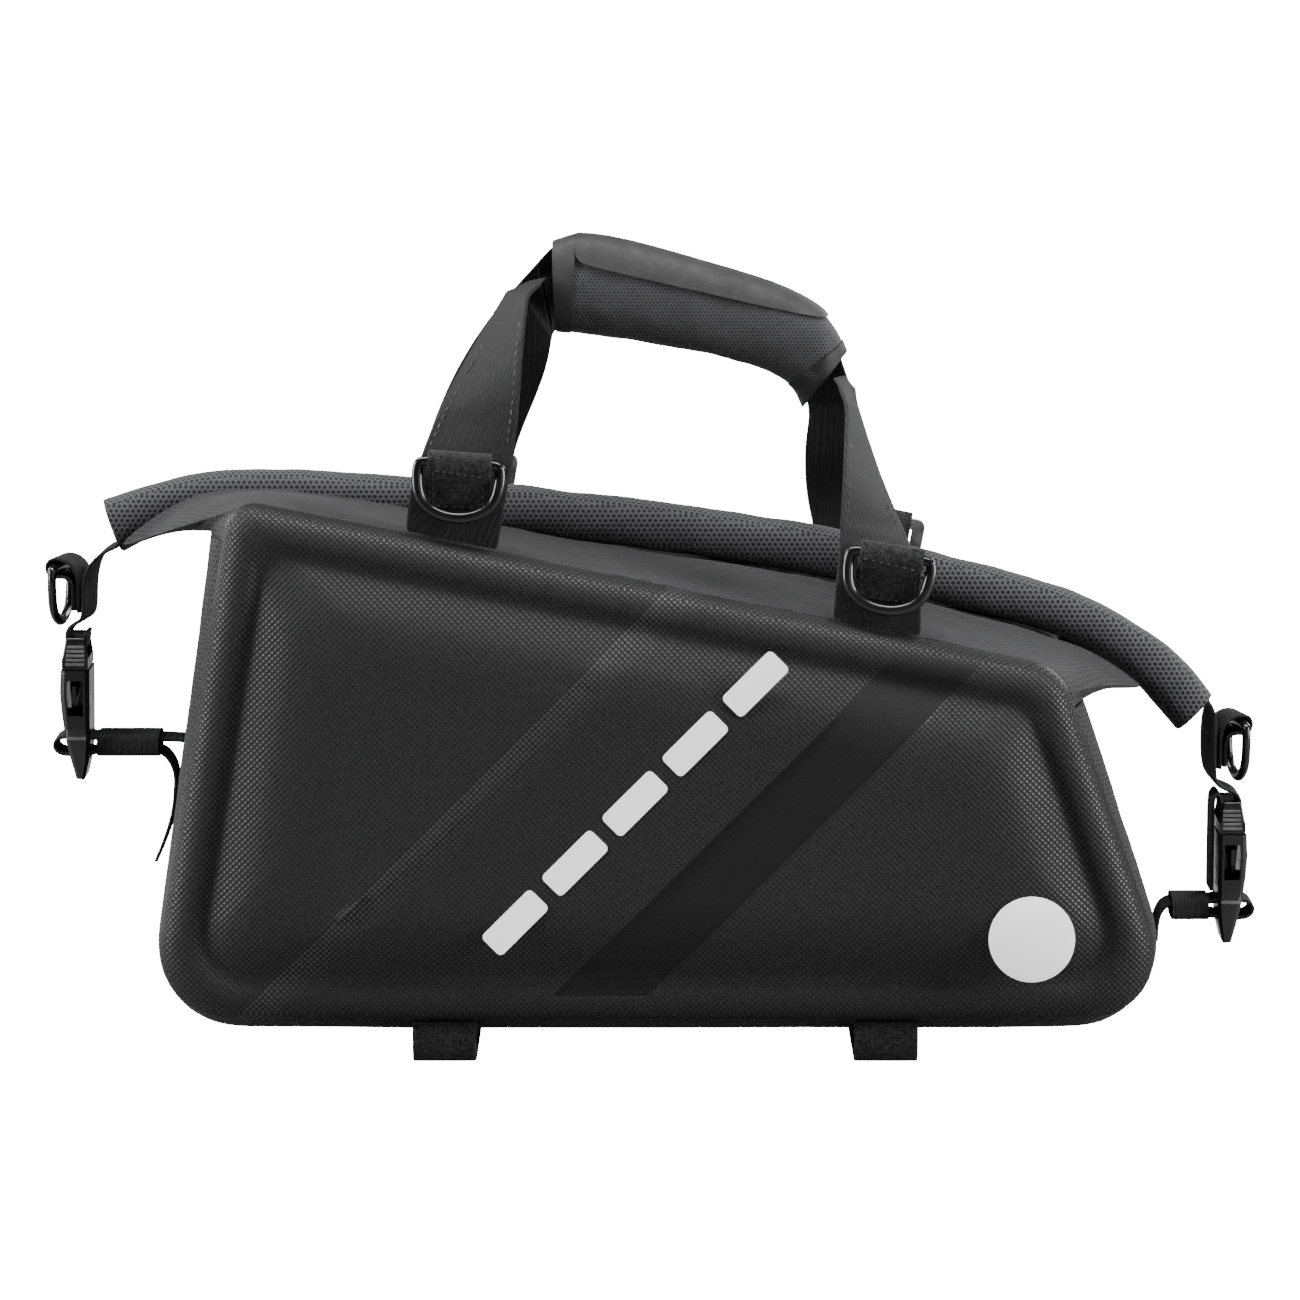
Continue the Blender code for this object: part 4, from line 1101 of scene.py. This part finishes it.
class ClothBody(SubAssembly):
    """The gusset, the top and the roll."""

    ears = EarSizes()

    def build(self) -> None:
        """Makes the three cloth pieces."""
        gusset = self.soft("gusset", "gusset_cloth", self.finishes.dark_cloth, Slot.CLOTH)
        self.wrinkle(gusset, 0.8 * MM, 24.0 * MM)
        cover = cad_copy("top_cover")
        self.draw_ears(cover)
        cover = self.rounded("top_cover_cloth", cover, self.finishes.dark_cloth, Slot.CLOTH, 3,
                             "top_cover")
        self.wrinkle(cover, 1.5 * MM, 22.0 * MM)
        roll = self.soft("roll", "roll_cloth", self.finishes.cloth, Slot.CLOTH, 3)
        self.wrinkle(roll, 1.6 * MM, 20.0 * MM)

    def draw_ears(self, mesh: Mesh) -> None:
        """Draws the cover's ends along the underside of the roll.

        Args:
            mesh: the cover's mesh.
        """
        ears = self.ears
        for vert in mesh.verts:
            if abs(vert.co.y) > ears.half_width * MM:
                continue
            x = vert.co.x / MM
            for start, end, pull in ((ears.left_start, ears.left_end, ears.left_pull),
                                     (ears.right_start, ears.right_end, ears.right_pull)):
                share = min(max((x - start) / (end - start), 0.0), 1.0)
                vert.co += Vector(pull) * (share * share * (3.0 - 2.0 * share) * MM)
                if abs(vert.co.y) < ears.lip * MM:
                    vert.co.y *= 1.0 - ears.lip_pull * share


@dataclass(frozen=True)
class GatherStep:
    """One step of a front leg past its top: its outer and its inner edge, in millimetres."""

    outer: Point
    inner: Point


@dataclass(frozen=True)
class HandleSizes:
    """Where the grip's tape and the legs' tops lie, in millimetres."""

    left_end: Point = (-30.5, 0.0, 300.0)
    left_outward: Point = (-1.0, 0.0, 0.06)
    right_end: Point = (66.5, 0.0, 272.5)
    right_outward: Point = (0.62, 0.0, -0.78)
    flap_edge: Point = (6.7, 0.0, 304.9)
    flap_up: Point = (0.225, -0.12, 0.97)
    binding_proud: float = 0.5
    flap_proud: float = 0.9
    left_gather: tuple[GatherStep, ...] = (
        GatherStep((-56.0, 3.0, 299.0), (-44.5, -19.0, 303.5)),
        GatherStep((-50.5, 0.2, 303.5), (-39.6, -7.5, 305.5)),
    )
    right_gather: tuple[GatherStep, ...] = (
        GatherStep((80.2, -3.2, 261.5), (75.6, -22.0, 263.0)),
        GatherStep((78.3, -2.2, 267.0), (71.4, -11.0, 266.0)),
    )


class Handle(SubAssembly):
    """The handle's webbing and its padded grip."""

    sizes = HandleSizes()

    def build(self) -> None:
        """Makes the straps, the grip, its flap and its bindings."""
        sizes, finishes = self.sizes, self.finishes
        self.soft("handle_strap_rear", "handle_webbing_rear", finishes.upright, Slot.WEBBING)
        self.leg("handle_strap_front_left", "handle_webbing_left", finishes.left_leg_shaded_copy, sizes.left_gather)
        self.leg("handle_strap_front_right", "handle_webbing_right", finishes.right_leg_lit_copy, sizes.right_gather)
        grip = self.soft("grip_wrap", "grip_padding", finishes.grip, Slot.CLOTH, 3)
        self.wrinkle(grip, 1.1 * MM, 14.0 * MM)
        left, left_outward = Vector(sizes.left_end), Vector(sizes.left_outward)
        right, right_outward = Vector(sizes.right_end), Vector(sizes.right_outward)
        front_edge = (Vector(sizes.flap_edge), Vector(sizes.flap_up))
        self.cover("grip_binding_left", [(left, left_outward)], sizes.binding_proud)
        self.cover("grip_binding_right", [(right, right_outward)], sizes.binding_proud)
        self.cover("grip_flap", [(left, -left_outward), (right, -right_outward), front_edge],
                   sizes.flap_proud)
        self.legs_stitching()

    def leg(self, node: str, name: str, material: bpy.types.Material,
            gather: Sequence[GatherStep]) -> None:
        """Makes a front leg whose top is gathered against the end of the grip.

        Args:
            node: the CAD node that it stands for.
            name: the piece's name.
            material: its finish.
            gather: the steps that carry its top on to the grip.
        """
        mesh = cad_copy(node)
        top = max(mesh.faces, key=lambda face: face.calc_center_median().z)
        for step in gather:
            top = bmesh.ops.extrude_discrete_faces(mesh, faces=[top])["faces"][0]
            middle = top.calc_center_median()
            reaches = [vert.co - middle for vert in top.verts]
            across = max(reaches, key=lambda reach: reach.length).normalized()
            rear_side = 1.0 if across.y > 0.0 else -1.0
            for vert, reach in zip(top.verts, reaches):
                sideways = reach.dot(across)
                edge = Vector(step.outer if sideways * rear_side > 0.0 else step.inner) * MM
                vert.co = edge + (reach - across * sideways)
        self.rounded(name, mesh, material, Slot.WEBBING, 2, node)

    def cover(self, name: str, cuts: Sequence[tuple[Vector, Vector]], proud: float) -> None:
        """Lays smooth tape over a stretch of the grip.

        Args:
            name: the piece's name.
            cuts: for each end of the stretch a point in millimetres and the direction to keep.
            proud: how far the tape stands off the padding, in millimetres.
        """
        mesh = cad_copy("grip_wrap")
        for place, keep in cuts:
            bmesh.ops.bisect_plane(mesh, geom=mesh.verts[:] + mesh.edges[:] + mesh.faces[:], dist=1e-7,
                                   plane_co=place * MM, plane_no=keep, clear_inner=True)
        mesh.normal_update()
        for vert in mesh.verts:
            vert.co += vert.normal * proud * MM
        self.rounded(name, mesh, self.finishes.tape, Slot.CLOTH, 1)

    def legs_stitching(self) -> None:
        """Sews both edges of each front leg and the tops that hold them to the strap."""
        rear = Vector((0.0, 1.0, 0.0))
        left = [[(-86.0, 0.0, 243.0), (-80.0, 0.0, 256.0), (-72.6, 0.0, 269.5), (-63.5, 0.0, 284.5)],
                [(-55.5, 0.0, 244.0), (-53.4, 0.0, 262.0), (-52.4, 0.0, 277.0), (-51.0, 0.0, 291.0)],
                [(-60.5, 0.0, 287.5), (-50.5, 0.0, 296.0)]]
        right = [[(76.6, 0.0, 213.0), (77.8, 0.0, 229.0), (78.6, 0.0, 244.0)],
                 [(97.0, 0.0, 211.0), (89.0, 0.0, 228.0), (83.6, 0.0, 243.5)]]
        self.stitches("leg_stitching_left", "handle_strap_front_left", rear, left)
        self.stitches("leg_stitching_right", "handle_strap_front_right", rear, right)


@dataclass(frozen=True)
class TabSewing:
    """Where a tab's frame of stitches lies, in millimetres from the tab's edges."""

    side: float = 3.6
    top: float = 9.5
    bottom: float = 2.6
    left_lean: float = 1.4
    right_lean: float = 2.6
    pitch: float = 3.0


class TabsAndFittings(SubAssembly):
    """The webbing tabs with their rings and hooks."""

    frame = TabSewing()

    def build(self) -> None:
        """Makes the tabs, the rings and the hooks."""
        for place in ("front_left", "front_right", "rear_left", "rear_right"):
            self.soft("tab_" + place, "tab_" + place + "_webbing", self.finishes.nap, Slot.WEBBING)
            self.tab_stitching(place)
        for place in ("front_left", "front_right", "end_left", "end_right"):
            self.ring("d_ring_" + place)
        for place in ("left", "right"):
            node = "g_hook_rear_" + place
            self.hard(node, node + "_alloy", self.finishes.alloy, Slot.ALLOY, 0.4 * MM, body=node + "_body")

    def tab_stitching(self, place: str) -> None:
        """Sews the frame of stitches on a tab's outer face.

        Args:
            place: which of the four tabs.
        """
        node = "tab_" + place
        low, high = (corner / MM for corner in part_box(node))
        sizes = self.frame
        top, bottom = high.z - sizes.top, low.z + sizes.bottom
        left, right = low.x + sizes.side, high.x - sizes.side
        lean = sizes.left_lean if "left" in place else sizes.right_lean
        frame_line = [(left, 0.0, top + lean), (right, 0.0, top - lean), (right, 0.0, bottom),
                      (left, 0.0, bottom + lean), (left, 0.0, top + lean)]
        toward = Vector((0.0, 1.0 if "front" in place else -1.0, 0.0))
        self.stitches(node + "_stitching", node, toward, [frame_line], sizes.pitch * MM)

    def ring(self, node: str) -> None:
        """Dresses one D-ring.

        Args:
            node: the CAD node's name.
        """
        piece = self.add(node + "_gloss", cad_copy(node), self.finishes.plastic, Slot.PLASTIC,
                         body=node + "_body", stands_for=node, sharp=80.0)
        rounding = piece.modifiers.new("rounding", "SUBSURF")
        rounding.levels = 2
        rounding.render_levels = 2


@dataclass(frozen=True)
class BuckleLevel:
    """One level of a buckle's side view, in millimetres from the middle of its thickness."""

    height: float
    solid_half: float
    inner: float
    outer: float


BUCKLE_LEVELS = (
    BuckleLevel(height=0.2, solid_half=5.4, inner=-5.4, outer=6.0),
    BuckleLevel(height=-8.5, solid_half=5.4, inner=-5.4, outer=6.4),
    BuckleLevel(height=-17.0, solid_half=5.4, inner=-5.4, outer=5.7),
    BuckleLevel(height=-24.5, solid_half=5.4, inner=-5.4, outer=4.6),
    BuckleLevel(height=-30.0, solid_half=5.1, inner=-5.3, outer=3.6),
    BuckleLevel(height=-36.0, solid_half=4.0, inner=-4.9, outer=2.2),
    BuckleLevel(height=-43.5, solid_half=1.7, inner=-3.2, outer=0.2),
)


@dataclass(frozen=True)
class BuckleSizes:
    """Sizes of a buckle's details, in millimetres."""

    face_y: float = 17.0
    cheek_inner_y: float = 14.4
    catch_y: float = 9.0
    catch_top: float = -3.0
    catch_slim: float = 0.34
    catch_shift: float = 0.7
    ladder_top: float = 5.1
    ladder_shift: float = 0.3
    ladder_ribs: int = 5
    rib_start: float = 2.0
    rib_pitch: float = 1.75
    rib_height: float = 1.1
    nib_height: float = 2.2
    nib_place: float = -44.4


class EndFastenings(SubAssembly):
    """The straps and buckles at both ends."""

    sizes = BuckleSizes()
    slices = 15
    middle: float
    top: float
    outward: float

    def build(self) -> None:
        """Makes the webbing and the buckles of both ends."""
        for place, outward in (("left", -1.0), ("right", 1.0)):
            for node in ("roll_end_strap_", "end_ring_tab_", "end_strap_", "strap_keeper_"):
                self.soft(node + place, node + place + "_webbing", self.finishes.upright, Slot.WEBBING)
            low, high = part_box("buckle_socket_" + place)
            self.middle = (low.x + high.x) / 2.0
            self.top = high.z
            self.outward = outward
            self.socket(place)
            self.plug(place)
            self.cheeks(place)
            self.trim(place)

    def slimmed(self, point: Vector) -> Vector:
        """Moves a point of the plain socket to the buckle's real side view.

        Args:
            point: a point of the socket in metres.

        Returns:
            The moved point.
        """
        height = (point.z - self.top) / MM
        depth = (point.x - self.middle) / MM * self.outward
        for upper, lower in zip(BUCKLE_LEVELS, BUCKLE_LEVELS[1:]):
            if height > lower.height:
                break
        share = min(max((upper.height - height) / (upper.height - lower.height), 0.0), 1.0)
        half = upper.solid_half + (lower.solid_half - upper.solid_half) * share
        inner = upper.inner + (lower.inner - upper.inner) * share
        outer = upper.outer + (lower.outer - upper.outer) * share
        moved = (inner + outer) / 2.0 + depth / half * (outer - inner) / 2.0
        return Vector((self.middle + moved * self.outward * MM, point.y, point.z))

    def socket(self, place: str) -> None:
        """Makes the socket with its bulging outer side.

        Args:
            place: left or right.
        """
        node = "buckle_socket_" + place
        mesh = cad_copy(node)
        low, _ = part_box(node)
        for index in range(1, self.slices):
            height = self.top + (low.z - self.top) * index / self.slices
            bmesh.ops.bisect_plane(mesh, geom=mesh.verts[:] + mesh.edges[:] + mesh.faces[:], dist=1e-6,
                                   plane_co=(0.0, 0.0, height), plane_no=(0.0, 0.0, 1.0))
        for vert in mesh.verts:
            vert.co = self.slimmed(vert.co)
        self.moulded(node + "_gloss", mesh, self.finishes.plastic, Slot.PLASTIC, 0.45 * MM,
                     stands_for=node)

    def plug(self, place: str) -> None:
        """Makes the plug, whose catches show as slim upright bars in the socket's windows.

        Args:
            place: left or right.
        """
        sizes = self.sizes
        node = "buckle_plug_" + place
        mesh = cad_copy(node)
        bmesh.ops.dissolve_limit(mesh, angle_limit=math.radians(1.0), verts=mesh.verts, edges=mesh.edges)
        for vert in mesh.verts:
            height = (vert.co.z - self.top) / MM
            if height < sizes.catch_top and abs(vert.co.y) > sizes.catch_y * MM:
                slimmed = (vert.co.x - self.middle) * sizes.catch_slim
                vert.co.x = self.middle + slimmed + self.outward * sizes.catch_shift * MM
            elif 0.0 < height < sizes.ladder_top:
                vert.co.x += self.outward * sizes.ladder_shift * MM
        self.moulded(node + "_gloss", mesh, self.finishes.plastic, Slot.PLASTIC, 0.4 * MM, stands_for=node)

    def block(self, mesh: Mesh, low: Point, high: Point) -> list[bmesh.types.BMVert]:
        """Adds a block in the buckle's own directions.

        Args:
            mesh: the mesh that gets it.
            low: least depth, y and height above the socket's top, in millimetres.
            high: greatest depth, y and height.

        Returns:
            Its corners.
        """
        middle, size = (Vector(low) + Vector(high)) / 2.0 * MM, (Vector(high) - Vector(low)) * MM
        place = Vector((self.middle + middle.x * self.outward, middle.y, self.top + middle.z))
        matrix = Matrix.Translation(place) @ Matrix.Diagonal((*size, 1.0))
        return bmesh.ops.create_cube(mesh, size=1.0, matrix=matrix)["verts"]

    def cheeks(self, place: str) -> None:
        """Makes the two walls of the ladder that the webbing runs between.

        Args:
            place: left or right.
        """
        mesh = bmesh.new()
        for side in (-1.0, 1.0):
            near, far = sorted((side * self.sizes.cheek_inner_y, side * self.sizes.face_y))
            for vert in self.block(mesh, (-4.9, near, 4.6), (5.4, far, 13.2)):
                if vert.co.z > self.top + 9.0 * MM:
                    vert.co.x -= (vert.co.x - self.middle) * 0.3
        self.moulded("buckle_cheeks_" + place, mesh, self.finishes.plastic, Slot.PLASTIC, 0.9 * MM)

    def trim(self, place: str) -> None:
        """Adds the ribs of the ladder, the grey plates and the nib.

        Args:
            place: left or right.
        """
        sizes = self.sizes
        plates = bmesh.new()
        for side in (-1.0, 1.0):
            near, far = sorted((side * (sizes.face_y - 0.6), side * (sizes.face_y + 0.3)))
            self.block(plates, (-4.1, near, -27.6), (3.6, far, -19.6))
            for index in range(sizes.ladder_ribs):
                start = sizes.rib_start + index * sizes.rib_pitch
                self.block(plates, (-3.6, near, start), (3.9 - index * 0.15, far, start + sizes.rib_height))
        self.moulded("buckle_plates_" + place, plates, self.finishes.plate, Slot.PLASTIC, 0.2 * MM)
        nib = bmesh.new()
        foot = Vector((self.middle - 1.5 * self.outward * MM, 0.0, self.top + sizes.nib_place * MM))
        turn = Matrix.Rotation(math.pi, 4, "X")
        bmesh.ops.create_cone(nib, cap_ends=True, segments=16, radius1=1.1 * MM, radius2=0.5 * MM,
                              depth=sizes.nib_height * MM, matrix=Matrix.Translation(foot) @ turn)
        self.moulded("buckle_nib_" + place, nib, self.finishes.plastic, Slot.PLASTIC, 0.15 * MM)


class RackStraps(SubAssembly):
    """The two straps that close round the rack."""

    def build(self) -> None:
        """Makes both straps."""
        for place in ("left", "right"):
            node = "rack_strap_" + place
            self.soft(node, node + "_nap", self.finishes.nap, Slot.HOOK_AND_LOOP)


@dataclass(frozen=True)
class SoftLight:
    """One soft light: where it hangs and its width and height in metres, and its power in watts."""

    name: str
    place: Point
    size: tuple[float, float]
    power: float


LIGHTS = (
    SoftLight("left_strip", (-2.0, -0.5, 0.5), (0.4, 1.9), 94.0),
    SoftLight("right_strip", (2.0, -0.6, 0.45), (0.5, 1.8), 102.0),
    SoftLight("overhead", (-0.1, -0.4, 2.1), (2.4, 0.5), 92.0),
    SoftLight("front", (1.6, -2.3, 0.9), (1.0, 1.2), 9.0),
    SoftLight("rear_left", (-1.9, 1.7, 1.0), (0.9, 1.4), 42.0),
    SoftLight("rear_right", (1.5, 2.2, 1.2), (0.9, 1.4), 34.0),
)


class Studio:
    """The floor, the light and the camera."""

    distance = 3.2
    elevation = math.radians(6.0)
    target = Vector((0.0, -0.066, 0.1639))
    lens = 227.2
    sensor_width = 36.0
    floor_radius = 60.0
    floor_glow = 22.0
    floor_glow_share = 0.86
    world_strength = 0.06

    def __init__(self, patterns: Patterns) -> None:
        """Keeps the shared node groups."""
        self.patterns = patterns

    def build(self) -> None:
        """Makes the camera, the floor and the lights."""
        self.camera()
        self.floor()
        self.world()
        for light in LIGHTS:
            self.light(light)

    def camera(self) -> None:
        """Places the camera at the photograph's angle."""
        data = bpy.data.cameras.new("photo_camera")
        data.lens = self.lens
        data.sensor_width = self.sensor_width
        camera = bpy.data.objects.new("photo_camera", data)
        bpy.context.scene.collection.objects.link(camera)
        back = Vector((0.0, -math.cos(self.elevation), math.sin(self.elevation)))
        camera.location = self.target + back * self.distance
        camera.rotation_euler = (-back).to_track_quat("-Z", "Y").to_euler()
        bpy.context.scene.camera = camera

    def floor(self) -> None:
        """Lays the pale floor."""
        mesh = bmesh.new()
        bmesh.ops.create_circle(mesh, cap_ends=True, segments=64, radius=self.floor_radius)
        data = bpy.data.meshes.new("floor")
        mesh.to_mesh(data)
        mesh.free()
        data.materials.append(self.floor_finish())
        floor = bpy.data.objects.new("floor", data)
        bpy.context.scene.collection.objects.link(floor)

    def floor_finish(self) -> bpy.types.Material:
        """Makes the pale floor, lit up so that it shows nearly white.

        Returns:
            The floor's material.
        """
        surface = Surface("pale_floor", self.patterns, 0.7)
        surface.shader.inputs["Base Color"].default_value = grey(0.22)
        glow = surface.add("ShaderNodeEmission")
        glow.inputs["Strength"].default_value = self.floor_glow
        seen = surface.add("ShaderNodeLightPath").outputs["Is Camera Ray"]
        blend = surface.add("ShaderNodeMixShader")
        surface.feed(blend.inputs[0], surface.math("MULTIPLY", seen, self.floor_glow_share))
        surface.feed(blend.inputs[1], surface.shader.outputs[0])
        surface.feed(blend.inputs[2], glow.outputs[0])
        output = surface.tree.nodes["Material Output"]
        surface.feed(output.inputs["Surface"], blend.outputs[0])
        return surface.material

    def world(self) -> None:
        """Surrounds the scene with even white light."""
        world = bpy.data.worlds.new("studio")
        world.use_nodes = True
        background = world.node_tree.nodes["Background"]
        background.inputs["Color"].default_value = grey(1.0)
        background.inputs["Strength"].default_value = self.world_strength
        bpy.context.scene.world = world

    def light(self, light: SoftLight) -> None:
        """Hangs one soft light that faces the bag.

        Args:
            light: its name, place, size and power.
        """
        data = bpy.data.lights.new(light.name, "AREA")
        data.shape = "RECTANGLE"
        data.size, data.size_y = light.size
        data.energy = light.power
        lamp = bpy.data.objects.new(light.name, data)
        bpy.context.scene.collection.objects.link(lamp)
        lamp.location = Vector(light.place)
        lamp.rotation_euler = (self.target - lamp.location).to_track_quat("-Z", "Y").to_euler()


def corners(bounds: tuple[Vector, Vector]) -> list[list[float]]:
    """Gives a box's lowest and highest corner as plain lists."""
    return [list(corner) for corner in bounds]


def main() -> None:
    logging.basicConfig(level=logging.INFO, format="%(name)s: %(message)s")
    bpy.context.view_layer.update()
    patterns = build_patterns()
    finishes = build_finishes(patterns)
    Studio(patterns).build()
    for assembly in (MouldedShells, ClothBody, Handle, TabsAndFittings, EndFastenings, RackStraps):
        assembly(finishes).build()


if __name__ == "__main__":
    main()
